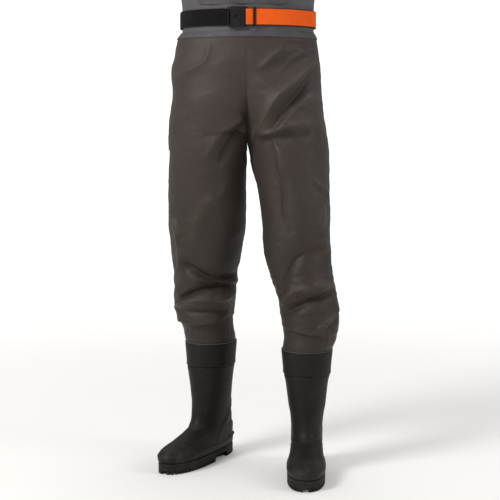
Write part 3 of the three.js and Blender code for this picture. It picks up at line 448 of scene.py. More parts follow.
class Effects:
    """The shader groups that several finishes share."""

    def __init__(self) -> None:
        """Builds each group once."""
        self.weave = self._weave()
        self.ribbed = self._ribbed()
        self.mottle = self._mottle()
        self.grain = self._grain()
        self.wear = self._wear()

    def _weave(self) -> bpy.types.NodeTree:
        """Plain weave: the product of two crossed waves of the surface's own UV, broken by a fine noise."""
        graph, given, out = new_group("plain_weave", {"Thread": 0.0012, "Rough": 0.35}, {"Height": "Float"})
        uv = graph.add("TexCoord").outputs["UV"]
        split = graph.add("SeparateXYZ", Vector=uv)
        waves = [
            graph.math(
                "SINE",
                graph.math("MULTIPLY", graph.math("DIVIDE", split.outputs[k], given["Thread"]), TURN)
            )
            for k in (0, 1)
        ]
        cross = graph.math("MULTIPLY", waves[0], waves[1])
        noise = graph.add("TexNoise", Vector=uv, Scale=900.0, Detail=2.0).outputs[0]
        height = graph.math(
            "ADD", graph.math("MULTIPLY", cross, 0.5), graph.math("MULTIPLY", noise, given["Rough"])
        )
        graph.tree.links.new(height, out["Height"])
        return graph.tree

    def _ribbed(self) -> bpy.types.NodeTree:
        """Webbing: slanting ridges that turn back at its middle line, and cords along it, in its UV."""
        graph, given, out = new_group(
            "webbing_ribs", {"Pitch": 0.0022, "Cord": 0.0030, "Slant": 0.6, "Middle": 0.02},
            {"Height": "Float"}
        )
        split = graph.add("SeparateXYZ", Vector=graph.add("TexCoord").outputs["UV"])
        along, across = split.outputs[1], split.outputs[0]
        away = graph.math("ABSOLUTE", graph.math("SUBTRACT", across, given["Middle"]))
        slanted = graph.math("ADD", along, graph.math("MULTIPLY", away, given["Slant"]))
        rib = graph.math(
            "SINE", graph.math("MULTIPLY", graph.math("DIVIDE", slanted, given["Pitch"]), TURN)
        )
        cord = graph.math("SINE", graph.math("MULTIPLY", graph.math("DIVIDE", across, given["Cord"]), TURN))
        height = graph.math(
            "ADD", graph.math("MULTIPLY", graph.math("ABSOLUTE", rib), 0.6),
            graph.math("MULTIPLY", cord, 0.25)
        )
        graph.tree.links.new(height, out["Height"])
        return graph.tree

    def _mottle(self) -> bpy.types.NodeTree:
        """Uneven colour: a base mixed towards a second colour by two scales of noise on Object places."""
        graph, given, out = new_group(
            "uneven_colour",
            {"Base": (0.1, 0.1, 0.1), "Second": (0.2, 0.2, 0.2), "Scale": 9.0, "Amount": 0.5},
            {"Color": "Color", "Mask": "Float"},
        )
        place = graph.add("TexCoord").outputs["Object"]
        large = graph.add("TexNoise", Vector=place, Scale=given["Scale"], Detail=4.0).outputs[0]
        fine = graph.add(
            "TexNoise", Vector=place, Scale=graph.math("MULTIPLY", given["Scale"], 14.0), Detail=3.0
        )
        both = graph.math(
            "ADD", graph.math("MULTIPLY", large, 0.7), graph.math("MULTIPLY", fine.outputs[0], 0.3)
        )
        mask = graph.math("MULTIPLY", graph.between(both, 0.38, 0.66), given["Amount"])
        graph.tree.links.new(graph.mix(mask, given["Base"], given["Second"]), out["Color"])
        graph.tree.links.new(mask, out["Mask"])
        return graph.tree

    def _grain(self) -> bpy.types.NodeTree:
        """Moulded grain: a fine noise over a coarser one on Object coordinates."""
        graph, given, out = new_group(
            "moulded_grain", {"Scale": 700.0, "Coarse": 60.0}, {"Height": "Float"}
        )
        place = graph.add("TexCoord").outputs["Object"]
        fine = graph.add("TexNoise", Vector=place, Scale=given["Scale"], Detail=2.0).outputs[0]
        coarse = graph.add("TexNoise", Vector=place, Scale=given["Coarse"], Detail=3.0).outputs[0]
        graph.tree.links.new(graph.math("ADD", graph.math("MULTIPLY", fine, 0.6), coarse), out["Height"])
        return graph.tree

    def _wear(self) -> bpy.types.NodeTree:
        """Rubbed ridges and settled dust: the piece's relief attribute, broken by noise, as two masks."""
        graph, given, out = new_group(
            "rubbed_and_dusty", {"Ridge": 0.5, "Dust": 0.3}, {"Rubbed": "Float", "Dusty": "Float"}
        )
        relief = graph.add("Attribute", attribute_name="relief").outputs["Fac"]
        place = graph.add("TexCoord").outputs["Object"]
        noise = graph.add("TexNoise", Vector=place, Scale=38.0, Detail=5.0).outputs[0]
        ridge = graph.math("MULTIPLY", graph.between(relief, 0.1, 1.0), graph.between(noise, 0.3, 0.65))
        height = graph.add("SeparateXYZ", Vector=place).outputs[2]
        low = graph.math("MULTIPLY", graph.between(height, 0.55, 0.0), graph.between(noise, 0.4, 0.75))
        graph.tree.links.new(graph.math("MULTIPLY", ridge, given["Ridge"]), out["Rubbed"])
        graph.tree.links.new(graph.math("MULTIPLY", low, given["Dust"]), out["Dusty"])
        return graph.tree


class Surface(Enum):
    """What gives a finish its small relief."""

    WEAVE = "weave"
    RIBS = "ribbed"
    GRAIN = "grain"


@dataclass(frozen=True)
class Finish:
    """One material: its colours, gloss and small relief."""

    name: str
    slot: str
    base: Color
    second: Color
    surface: Surface
    roughness: float = 0.6
    mottle_scale: float = 9.0
    mottle: float = 0.5
    depth: float = 0.25  # the bump's strength
    distance: float = 0.0004
    relief: tuple[tuple[str, float], ...] = ()
    ridge: Color = (0.2, 0.2, 0.2)
    rubbed: float = 0.0
    dust: Color = (0.30, 0.27, 0.22)
    dusty: float = 0.0
    sheen: float = 0.0
    specular: float = 0.25
    metallic: float = 0.0
    coat: float = 0.0
    low: Color | None = None  # the colour that it grades to below the knee: painted shade, darker towards the floor

    def material(self, effects: Effects) -> bpy.types.Material:
        """The node material of this finish.

        Args:
            effects: the shared shader groups.

        Returns:
            A Principled surface whose colour, roughness and bump come from the groups; where the finish has
            a low colour, the colour also grades to it lower down as painted shade.
        """
        made = bpy.data.materials.new(self.name)
        made.use_nodes = True
        graph = Graph(made.node_tree)
        shader = made.node_tree.nodes["Principled BSDF"]
        uneven = graph.add("Group")
        uneven.node_tree = effects.mottle
        for key, value in (
            ("Base", (*self.base, 1)), ("Second", (*self.second, 1)), ("Scale", self.mottle_scale)
        ):
            uneven.inputs[key].default_value = value
        uneven.inputs["Amount"].default_value = self.mottle
        wear = graph.add("Group")
        wear.node_tree = effects.wear
        wear.inputs["Ridge"].default_value = self.rubbed
        wear.inputs["Dust"].default_value = self.dusty
        relief = graph.add("Group")
        relief.node_tree = getattr(effects, self.surface.value)
        for key, value in self.relief:
            relief.inputs[key].default_value = value
        plain = uneven.outputs["Color"]
        # Painted shade: the colour is mixed towards the low colour from 1.0 m down to 0.42 m, darker
        # towards the floor.
        if self.low:
            height = graph.add("SeparateXYZ", Vector=graph.add("TexCoord").outputs["Object"]).outputs["Z"]
            plain = graph.mix(graph.between(height, 1.0, 0.42, 0.0, 1.0), plain, self.low)
        ridged = graph.mix(wear.outputs["Rubbed"], plain, self.ridge)
        colour = graph.mix(wear.outputs["Dusty"], ridged, self.dust)
        graph.feed(shader, "Base Color", colour)
        rough = graph.between(
            relief.outputs["Height"], -0.5, 1.2, self.roughness + 0.05, self.roughness - 0.05
        )
        graph.feed(
            shader, "Roughness",
            graph.math("ADD", rough, graph.math("MULTIPLY", wear.outputs["Dusty"], 0.2), True)
        )
        bumped = graph.add(
            "Bump", Strength=self.depth, Distance=self.distance, Height=relief.outputs["Height"]
        )
        graph.feed(shader, "Normal", bumped.outputs[0])
        shader.inputs["Metallic"].default_value = self.metallic
        shader.inputs["Sheen Weight"].default_value = self.sheen
        shader.inputs["Sheen Roughness"].default_value = 0.5
        shader.inputs["Coat Weight"].default_value = self.coat
        shader.inputs["Specular IOR Level"].default_value = self.specular
        return made


FINISHES = {
    f.name: f
    for f in (
        Finish(
            "coated_trouser_fabric", "trouser_fabric", (0.046, 0.0345, 0.0295), (0.058, 0.045, 0.038),
            Surface.WEAVE, roughness=0.5, mottle=0.6, ridge=(0.098, 0.080, 0.062), rubbed=0.3,
            # low: painted shade, the trouser fabric grades darker towards the floor
            dusty=0.012, sheen=0.03, depth=0.3, specular=0.32, low=(0.031, 0.0225, 0.0175),
        ),
        Finish(
            "coated_bib_fabric", "bib_fabric", (0.094, 0.091, 0.098), (0.112, 0.108, 0.115),
            Surface.WEAVE, roughness=0.55, mottle=0.5, ridge=(0.17, 0.168, 0.17), rubbed=0.3, sheen=0.03,
            depth=0.3,
        ),
        Finish(
            "welded_tape", "seam_tape", (0.064, 0.059, 0.061), (0.078, 0.072, 0.073), Surface.WEAVE,
            roughness=0.5, ridge=(0.12, 0.112, 0.110), rubbed=0.4, depth=0.2,
            relief=(("Thread", 0.0008),),
        ),
        Finish(
            "dark_welded_tape", "seam_tape", (0.052, 0.041, 0.033), (0.068, 0.054, 0.042), Surface.WEAVE,
            roughness=0.5, ridge=(0.11, 0.09, 0.065), rubbed=0.5, depth=0.2, relief=(("Thread", 0.0008),),
        ),
        Finish(
            "black_webbing", "belt_webbing", (0.0045, 0.0045, 0.0055), (0.009, 0.009, 0.011),
            Surface.RIBS, roughness=0.8, mottle_scale=60.0, sheen=0.03, depth=0.7, distance=0.0005,
            ridge=(0.02, 0.02, 0.022), rubbed=0.4, specular=0.12,
        ),
        Finish(
            "orange_webbing", "belt_tail_webbing", (0.90, 0.112, 0.0075), (0.98, 0.145, 0.014),
            Surface.RIBS, roughness=0.75, mottle_scale=60.0, depth=0.6, distance=0.0005,
            ridge=(1.0, 0.20, 0.035), rubbed=0.3, specular=0.15,
        ),
        Finish(
            "black_webbing_edge", "belt_tail_webbing", (0.0045, 0.0045, 0.0055), (0.009, 0.009, 0.011),
            Surface.RIBS, roughness=0.8, mottle_scale=60.0, depth=0.6, specular=0.12,
        ),
        Finish(
            "elastic_webbing", "brace_elastic", (0.006, 0.006, 0.0075), (0.014, 0.014, 0.017),
            Surface.RIBS, roughness=0.85, mottle_scale=70.0, sheen=0.05, depth=0.8, distance=0.0006,
            specular=0.15, relief=(("Pitch", 0.0016), ("Slant", 0.0), ("Cord", 0.0024)),
            ridge=(0.03, 0.03, 0.032), rubbed=0.4,
        ),
        Finish(
            "moulded_black_plastic", "buckle_plastic", (0.0050, 0.0065, 0.0060), (0.010, 0.012, 0.011),
            Surface.GRAIN, roughness=0.38, mottle_scale=80.0, depth=0.12, distance=0.0002, specular=0.4,
        ),
        Finish(
            "zip_tape_cloth", "zip_tape", (0.008, 0.008, 0.010), (0.018, 0.018, 0.021), Surface.WEAVE,
            roughness=0.8, relief=(("Thread", 0.0009),), depth=0.5, specular=0.2,
        ),
        Finish(
            "dark_zip_metal", "zip_metal", (0.16, 0.16, 0.17), (0.24, 0.24, 0.25), Surface.GRAIN,
            roughness=0.34, metallic=0.85, depth=0.08, distance=0.0002, specular=0.5,
        ),
        Finish(
            "matt_boot_rubber", "boot_rubber", (0.0055, 0.0046, 0.0040), (0.0095, 0.0080, 0.0068),
            Surface.GRAIN, roughness=0.58, mottle_scale=16.0, mottle=0.7, ridge=(0.036, 0.033, 0.030),
            rubbed=0.5, dusty=0.08, dust=(0.10, 0.085, 0.065), depth=0.22, distance=0.0003, specular=0.26,
        ),
        Finish(
            "tread_rubber", "sole_rubber", (0.010, 0.009, 0.008), (0.016, 0.0145, 0.013), Surface.GRAIN,
            roughness=0.72, mottle_scale=26.0, ridge=(0.045, 0.04, 0.035), rubbed=0.5, dusty=0.2,
            dust=(0.10, 0.085, 0.065), depth=0.35, distance=0.0004,
        ),
        Finish(
            "footbed_felt_cloth", "footbed_felt", (0.085, 0.078, 0.068), (0.13, 0.12, 0.105),
            Surface.GRAIN, roughness=0.95, mottle_scale=90.0, depth=0.8, distance=0.0008, sheen=0.2,
        ),
        Finish(
            "patch_rubber_sheet", "patch_rubber", (0.014, 0.013, 0.012), (0.022, 0.020, 0.019),
            Surface.GRAIN, roughness=0.55, depth=0.2,
        ),
    )
}


class Wardrobe:
    """Dresses pieces in their finishes and hands them to the frame."""

    def __init__(self) -> None:
        """Builds every material once."""
        effects = Effects()
        self.materials = {name: finish.material(effects) for name, finish in FINISHES.items()}

    def dress(self, made: bpy.types.Object, finish: str, body: str, *nodes: str) -> bpy.types.Object:
        """Gives a piece its finish and lets it ride on a body in place of CAD nodes.

        Args:
            made: the piece.
            finish: the finish's name.
            body: the body it moves with.
            nodes: the CAD nodes that it stands for.

        Returns:
            The piece.
        """
        self.paint(made, finish, *nodes)
        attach(made, body)
        return made

    def paint(self, made: bpy.types.Object, finish: str, *nodes: str) -> bpy.types.Object:
        """Gives a piece its finish, and what it replaces, but no body yet."""
        made.data.materials.clear()
        made.data.materials.append(self.materials[finish])
        if nodes:
            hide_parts(*nodes)
        LOG.info("%s: %d faces, %s", made.name, len(made.data.polygons), finish)
        return made


# ------------------------------------------------------------------ the body's surface

TORSO = np.array(
    [  # height, middle x and y, half-widths across X and Y, millimetres
        [1066, -7, -10, 172, 121],
        [1085, -5, -10, 163, 116.5],
        [1137, -5, -10, 163, 116.5],
        [1200, -6, -10, 171, 122],
        [1270, -6, -9, 181, 129],
        [1350, -6, -8, 188, 133],
        [1440, -6, -8, 189, 134],
    ]
)
WAIST = 1066.0
BELT_Z = 1111.0
BIB_FRONT, BIB_SIDE, BIB_BACK = 1430.0, 1300.0, 1352.0


def torso(degrees: Array, z: Array, off: Array | float = 0.0) -> Array:
    """The bib's outline, grown by a distance: middle + (a cos, b sin) of the angle.

    Args:
        degrees: angle about the body; 0 is the wearer's left and -90 the front.
        z: height in millimetres, of a shape that goes with the angles.
        off: distance outside the fabric in millimetres.

    Returns:
        Points in millimetres.
    """
    degrees, z, off = np.broadcast_arrays(np.asarray(degrees, float), z, off)
    s = through(TORSO, z.ravel()).reshape(*z.shape, 4)
    angle = np.radians(degrees)
    return np.stack(
        [s[..., 0] + (s[..., 2] + off) * np.cos(angle), s[..., 1] + (s[..., 3] + off) * np.sin(angle), z],
        -1
    )


def torso_angle(x: float, z: float, side: int) -> float:
    """The angle at which the bib's front (side -1) or back (side 1) is at x, in degrees."""
    s = through(TORSO, np.array([z]))[0]
    return side * math.degrees(math.acos(float(np.clip((x - s[0]) / s[2], -1, 1))))


def bib_edge(degrees: Array) -> Array:
    """The bib's top edge: the side height, rising smoothly to the front's and the back's."""
    front = -np.sin(np.radians(degrees))
    peak = np.where(front > 0, BIB_FRONT, BIB_BACK)
    return BIB_SIDE + (peak - BIB_SIDE) * ease(np.abs(front), 0, 0.86)


def belt_pleats(degrees: Array, z: Array) -> Array:
    """How far the fabric is drawn in under the belt: fine upright pleats that die out past it."""
    near = bump(z - BELT_Z, 46.0)
    a = np.radians(degrees)
    waves = np.sin(11 * a + 1.3) * 0.45 + np.sin(19 * a - 0.4) * 0.35 + np.sin(31 * a + 2.1) * 0.2
    return -1.9 * near * (1 - waves) / 2


# ------------------------------------------------------------------ bib


@dataclass
class Bib:
    """The bib: two panels, side welds, the top binding, the waist band, the pocket and the belt loops."""

    wardrobe: Wardrobe
    fabric: float = 1.2
    binding_width: float = 14.0
    pocket_low: float = 1141.0
    pocket_size: tuple[float, float] = (250.0, 205.0)
    pocket_middle: float = -15.0
    border: float = 12.0
    zip_z: float = 1317.0

    def build(self) -> None:
        """Makes every piece of the bib."""
        self.panel("bib_front", -180.0, 0.0)
        self.panel("bib_back", 0.0, 180.0)
        self.side_welds()
        self.binding()
        self.waist_band()
        self.pocket()
        self.zip()
        self.loops()
        self.back_patch()

    def panel(self, node: str, start: float, end: float) -> None:
        """One half of the bib as a double-walled sheet.

        Height runs from the waist to the edge curve, and the surface is the torso's outline less the
        belt's pleats and a soft unevenness.

        Args:
            node: the CAD node it replaces.
            start: its first angle in degrees.
            end: its last.
        """
        angle = np.linspace(start, end, 190)[None]
        share = np.linspace(0, 1, 130)[:, None]
        z = WAIST + 0.3 + share * (bib_edge(angle) - 1.0 - WAIST)
        a = np.radians(angle)
        sag = 1.1 * np.sin(3 * a + z / 46) + 0.8 * np.sin(5 * a - z / 31 + 1) + 0.5 * np.sin(9 * a + z / 19)
        loose = ease(z, BELT_Z + 60, BELT_Z + 150) * ease(bib_edge(angle) - z, 0, 60) * ease(
            np.abs(np.sin(a)), 0.0, 0.2
        )
        front = ease(-np.sin(a), 0.1, 0.5)
        depth = belt_pleats(angle, z) + (sag - 2.4) * loose * (1 - front) * 0.8
        outer = torso(angle, z, depth)
        inner = torso(angle, z, depth - self.fabric)
        patch = Patchwork()
        patch.shell(frame_point(outer), frame_point(inner), relief=np.clip(0.5 + depth / 3, 0, 1))
        self.wardrobe.dress(patch.object(f"{node}_panel"), "coated_bib_fabric", "garment", node)

    def side_welds(self) -> None:
        """A thin raised weld up each side of the bib, over the panels' join."""
        for side, at in ((Side.LEFT, 0.0), (Side.RIGHT, 180.0)):
            angle = at + np.linspace(-1.6, 1.6, 7)[None]
            z = np.linspace(WAIST + 8, BIB_SIDE - 3, 120)[:, None]
            crown = 0.55 * (1 - (np.linspace(-1, 1, 7)[None] ** 2)) + 0.12
            depth = belt_pleats(angle, z)
            patch = Patchwork()
            patch.shell(
                frame_point(torso(angle, z, depth + crown)), frame_point(torso(angle, z, depth + 0.02))
            )
            self.wardrobe.dress(patch.object(f"bib_side_weld_{side.word}"), "welded_tape", "garment")

    def binding(self) -> None:
        """The tape folded over the bib's top edge: a hook-shaped strip carried round the edge."""
        angle = np.linspace(-180, 180, 241)[:-1]
        edge = bib_edge(angle)
        turn = np.linspace(0, math.pi, 9)
        hook = np.concatenate(
            [
                [[0.85, -self.binding_width - 1], [1.6, -self.binding_width - 1], [1.75, -7.5]],
                np.stack([-0.6 + 2.4 * np.cos(turn), -0.6 + 1.9 * np.sin(turn)], -1),
                [
                    [-3.0, -8], [-2.8, -self.binding_width], [-1.5, -self.binding_width], [-1.4, -2.2],
                    [0.5, -1.6]
                ],
            ]
        )
        rows = torso(angle[:, None], edge[:, None] + hook[None, :, 1], 0)
        normal = unit(
            np.stack([np.cos(np.radians(angle)), np.sin(np.radians(angle)), np.zeros_like(angle)], -1)
        )
        rows = rows + normal[:, None] * hook[None, :, :1]
        patch = Patchwork()
        patch.grid(frame_point(np.concatenate([rows, rows[:1]])), wrapped=True)
        self.wardrobe.dress(
            patch.object("bib_top_binding_tape", 50), "welded_tape", "garment", "bib_top_binding"
        )

    def waist_band(self) -> None:
        """The welded band over the seam between bib and trousers: a domed strip with two weld lines."""
        angle = np.linspace(-180, 180, 361)[:-1][None]
        z = np.linspace(WAIST - 2.5, WAIST + 13, 25)[:, None]
        flare = np.maximum(0, WAIST - z) * 0.25
        place = (z - WAIST + 2.5) / 15.5
        crown = 0.8 * np.sqrt(np.clip(1 - (2 * place - 1) ** 8, 0, 1))
        crown = crown - 0.35 * bump(place - 0.14, 0.05) - 0.35 * bump(place - 0.86, 0.05)
        base = torso(angle, np.maximum(z, WAIST), 0)
        s = torso(angle, np.maximum(z, WAIST), 1.15 + flare + crown)
        inner = torso(angle, np.maximum(z, WAIST), 1.05 + flare)
        for grid in (base, s, inner):
            grid[..., 2] = z
        patch = Patchwork()
        patch.shell(
            frame_point(s), frame_point(inner), wrapped=True,
            relief=np.broadcast_to(crown, s.shape[:2]).copy()
        )
        self.wardrobe.dress(patch.object("waist_seam_band"), "welded_tape", "garment", "waist_seam_tape")

    def on_front(self, x: Array, z: Array, off: Array) -> Array:
        """Points on the bib's front by arc length from the pocket's middle: the angle is x over its size.

        Args:
            x: distance along the front from the pocket's middle, millimetres.
            z: height.
            off: distance outside the fabric.

        Returns:
            Points in millimetres.
        """
        mid = self.pocket_low + self.pocket_size[1] / 2
        reach = [torso_angle(self.pocket_middle + s * self.pocket_size[0] / 2, mid, -1) for s in (-1, 1)]
        centre, half = sum(reach) / 2, (reach[1] - reach[0]) / 2
        return torso(centre + half * x / (self.pocket_size[0] / 2), z, off)

    def pocket(self) -> None:
        """The chest pocket: a rounded panel that puffs a little, and its welded border with two grooves."""
        width, height = self.pocket_size
        half, tall = width / 2 - 1, height / 2 - 1
        centre = self.pocket_low + height / 2
        angle = np.linspace(0, TURN, 181)[:-1]
        corner = 0.16
        c, s = np.cos(angle), np.sin(angle)
        edge = np.stack([np.sign(c) * np.abs(c) ** corner, np.sign(s) * np.abs(s) ** corner], -1)
        ring = np.concatenate([[0.0], np.linspace(0.04, 0.985, 36), [0.993, 1.0]])[:, None]
        x, z = ring * edge[:, 0] * half, centre + ring * edge[:, 1] * tall
        puff = 0.8 + 1.2 * (1 - ease(ring, 0.985, 1.0)) * np.ones_like(x)
        wave = 0.5 * np.sin(x / 23 + z / 41) + 0.35 * np.sin(x / 13 - z / 29)
        puff = puff + np.clip(wave + 0.4, 0, 1) * 0.25 * (1 - ring) ** 0.5
        top = self.on_front(x, z, puff)
        low = self.on_front(x, z, np.full_like(x, 0.82))
        patch = Patchwork()
        patch.grid(frame_point(top), wrapped=True, uv=plane_uv(x, z), relief=np.clip(puff - 1.6, 0, 1))
        patch.grid(frame_point(low), wrapped=True, flipped=True, uv=plane_uv(x, z))
        patch.grid(frame_point(np.stack([low[-1], top[-1]])), wrapped=True)
        made = patch.object("chest_pocket_face", weld=4e-6)
        self.wardrobe.dress(made, "coated_bib_fabric", "garment", "chest_pocket_panel")
        share = np.linspace(0, 1, 25)
        groove = bump(share - 0.2, 0.05) + bump(share - 0.8, 0.05) + 0.7 * bump(share - 0.5, 0.06)
        crown = np.sqrt(np.clip(1 - (2 * share - 1) ** 10, 0, 1)) * 1.1 - 0.5 * groove
        inset = share * self.border
        x = edge[None, :, 0] * (half + 0.6 - inset[:, None])
        z = centre + edge[None, :, 1] * (tall + 0.6 - inset[:, None])
        top = self.on_front(x, z, 2.25 + crown[:, None] * 0.95)
        low = self.on_front(x, z, np.full_like(x, 2.22))
        patch = Patchwork()
        patch.grid(frame_point(top), wrapped=True, relief=np.broadcast_to(crown[:, None], x.shape).copy())
        patch.grid(frame_point(low), wrapped=True, flipped=True)
        patch.grid(frame_point(np.stack([low[-1], top[-1]])), wrapped=True)
        patch.grid(frame_point(np.stack([top[0], low[0]])), wrapped=True)
        self.wardrobe.dress(
            patch.object("chest_pocket_welt"), "welded_tape", "garment", "chest_pocket_border"
        )

    def zip(self) -> None:
        """The pocket's zip: a woven tape with a coil of teeth."""
        half = self.pocket_size[0] / 2 - 2.5 * self.border
        x = np.linspace(-half, half, 120)[None]
        across = np.linspace(-1, 1, 17)[:, None]
        z = self.zip_z + 13 * across
        crown = 2.35 + 0.5 * (1 - across**10) + 0.5 * bump(np.abs(across) - 0.34, 0.05) * np.ones_like(x)
        top = self.on_front(x, z, crown)
        low = self.on_front(x, z, np.full_like(crown, 2.31))
        patch = Patchwork()
        patch.shell(frame_point(top), frame_point(low))
        count = 96
        at = np.linspace(-half + 3, half - 3, count)
        tooth = np.array([[-0.75, -1], [0.75, -1], [0.75, 1], [-0.75, 1]])
        tall = np.array([0.0, 1.0, 1.0])
        shrink = np.array([1.0, 0.9, 0.02])
        for side in (-1, 1):
            cx = at + side * 0.55
            tx = cx[:, None, None] + tooth[None, None, :, 0] * shrink[None, :, None]
            tz = self.zip_z + side * 1.1 + tooth[None, None, :, 1] * 1.5 * shrink[None, :, None]
            off = 2.9 + 1.15 * tall[None, :, None] * np.ones_like(tx)
            base = self.on_front(tx, tz * np.ones_like(tx), off)
            for k in range(count):
                patch.grid(frame_point(capped(base[k])), wrapped=True)
        made = patch.object("pocket_zip_coil", 40)
        self.wardrobe.dress(made, "zip_tape_cloth", "garment", "pocket_zip_tape")

    def loops(self) -> None:
        """Three loops of fabric over the belt: a strip that lies on the bib and arches over the webbing."""
        height = np.array([-34, -30, -26, -23, -21.6, -20.6, -16, 0, 16, 20.6, 21.6, 23, 26, 30, 34], float)
        rise = np.array([1.0, 1.0, 1.1, 1.8, 4.2, 6.6, 7.3, 7.4, 7.3, 6.6, 4.2, 1.8, 1.1, 1.0, 1.0])
        path = catmull(np.stack([height, rise], -1), 5)
        tangent = unit(np.gradient(path, axis=0))
        normal = np.stack([-tangent[:, 1], tangent[:, 0]], -1)
        for name, centre in (("back", 90.0), ("right", 165.0), ("left", 25.0)):
            angle = centre + np.linspace(-7, 7, 21)[None]
            edge = 0.25 * bump(np.abs(np.linspace(-1, 1, 21)) - 0.86, 0.05)[None]
            outer = torso(
                angle, BELT_Z + (path + normal * 0.75)[:, :1], (path + normal * 0.75)[:, 1:] - edge
            )
            inner = torso(
                angle, BELT_Z + (path - normal * 0.75)[:, :1], (path - normal * 0.75)[:, 1:] + 0.3
            )
            patch = Patchwork()
            patch.shell(frame_point(outer), frame_point(inner))
            self.wardrobe.dress(
                patch.object(f"belt_loop_strip_{name}"), "coated_bib_fabric", "garment", f"belt_loop_{name}"
            )

    def back_patch(self) -> None:
        """The rubber patch of the braces: a rounded plate with a raised rim and a groove inside it."""
        top = BIB_BACK - self.binding_width - 3
        centre, tall, half = top - 31.0, 31.0, 48.0
        angle = np.linspace(0, TURN, 161)[:-1]
        c, s = np.cos(angle), np.sin(angle)
        edge = np.stack([np.sign(c) * np.abs(c) ** 0.3, np.sign(s) * np.abs(s) ** 0.3], -1)
        ring = np.concatenate([[0.0], np.linspace(0.05, 0.96, 30), [0.975, 0.99, 1.0]])[:, None]
        x, z = WAIST_MIDDLE[0] + ring * edge[:, 0] * half, centre + ring * edge[:, 1] * tall
        high = 2.4 + 0.7 * bump(ring - 0.93, 0.03) - 0.4 * bump(ring - 0.84, 0.012) - 1.5 * ease(
            ring, 0.975, 1.0
        )
        high = high * np.ones_like(x)
        mid = through(TORSO, np.array([centre]))[0]
        degrees = np.degrees(np.arccos(np.clip((x - mid[0]) / mid[2], -1, 1)))
        patch = Patchwork()
        patch.grid(frame_point(torso(degrees, z, high)), wrapped=True, relief=np.clip(high - 2, 0, 1))
        patch.grid(frame_point(torso(degrees, z, np.full_like(x, 0.85))), wrapped=True, flipped=True)
        rim = np.stack([torso(degrees[-1], z[-1], 0.85), torso(degrees[-1], z[-1], high[-1])])
        patch.grid(frame_point(rim), wrapped=True)
        self.wardrobe.dress(
            patch.object("brace_back_plate", weld=4e-6), "patch_rubber_sheet", "garment", "brace_back_patch"
        )


def plane_uv(x: Array, z: Array) -> Array:
    """Places on a flat-cut panel, in metres, with the first column repeated."""
    uv = np.stack([x, z], -1) * MM
    return np.concatenate([uv, uv[:, :1]], 1)


# ------------------------------------------------------------------ trousers

RIGHT_LEG = np.array(
    [  # share of the leg's height, middle x and y, half-widths a and b, millimetres
        [0.0, -100, 35, 61, 70], [0.045, -106, 35, 65, 73], [0.08, -113, 34, 71, 77],
        [0.14, -115, 33, 78, 82],
        [0.22, -113, 30, 82, 87], [0.32, -110, 24, 92, 94], [0.42, -108, 16, 99, 101],
        [0.52, -107, 8, 99, 108],
        [0.6, -106, 2, 97.5, 113], [0.65, -104, -1, 100, 116], [0.738, -92, -5, 110, 122],
        [0.822, -62, -8, 132, 127],
        [0.914, -30, -10, 163, 127], [1.0, -7, -10, 172, 121],
    ]
)
LEFT_LEG = np.array(
    [
        [0.0, 141, -96, 61, 70], [0.045, 149, -95, 66, 73], [0.08, 149, -92, 70, 77],
        [0.14, 146, -86, 73, 82],
        [0.22, 131, -76, 77, 86], [0.32, 117, -63, 84, 93], [0.42, 114, -50, 86, 100],
        [0.52, 107, -38, 91, 107],
        [0.6, 99, -28, 97.5, 113], [0.65, 95, -24, 100, 116], [0.738, 78, -18, 109, 122],
        [0.822, 50, -14, 130, 127],
        [0.914, 18, -11, 157, 127], [1.0, -7, -10, 172, 121],
    ]
)
BOOT_TOP = 302.0
CROTCH = 790.0
CENTRE_X = -7.0
SPLIT = 600.0  # where the upper and the lower piece of a leg meet, inside one body
FOLD_DEPTH = 2.1


@dataclass(frozen=True)
class Fold:
    """One fold of the cloth: a ridge, or a valley where its height is negative, along a line on the leg."""

    line: tuple[tuple[float, float], ...]  # bearing in degrees and height in millimetres
    width: float
    height: float
    sharp: float = 2.0  # the crest's radius in millimetres: smaller is crisper

    def lift(self, bearing: Array, z: Array, girth: float = 100.0) -> Array:
        """How far the fold moves each point outwards.

        The line is laid out flat, with bearings as lengths round a leg of the given radius. A point's
        lift is the fold's height times exp(-(sqrt(d^2 + r^2) - r) / width) of its distance d from the
        line, where r is the crest's radius, so that flat facets meet in a crisp crest. It fades towards
        the line's ends.

        Args:
            bearing: bearings in degrees.
            z: heights in millimetres.
            girth: the leg's radius, which turns bearings into lengths.

        Returns:
            Lifts in millimetres.
        """
        line = catmull(np.array([(b * girth * math.pi / 180, h) for b, h in self.line]), 4)
        x = bearing * girth * math.pi / 180
        run = np.concatenate([[0], np.cumsum(np.linalg.norm(np.diff(line, axis=0), axis=1))])
        near = np.full(np.broadcast(x, z).shape, 1e9)
        place = np.zeros_like(near)
        for k in range(len(line) - 1):
            a, d = line[k], line[k + 1] - line[k]
            t = np.clip(((x - a[0]) * d[0] + (z - a[1]) * d[1]) / (d @ d), 0, 1)
            gap = np.hypot(x - a[0] - t * d[0], z - a[1] - t * d[1])
            closer = gap < near
            near = np.where(closer, gap, near)
            place = np.where(closer, run[k] + t * (run[k + 1] - run[k]), place)
        taper = np.sin(math.pi * np.clip(place / run[-1], 0.0, 1.0)) ** 0.6
        fade = 0.25 + 0.75 * taper
        reach = np.hypot(near, self.sharp) - self.sharp
        return FOLD_DEPTH * self.height * fade * np.exp(-reach / (self.width * (0.6 + 0.4 * taper)))


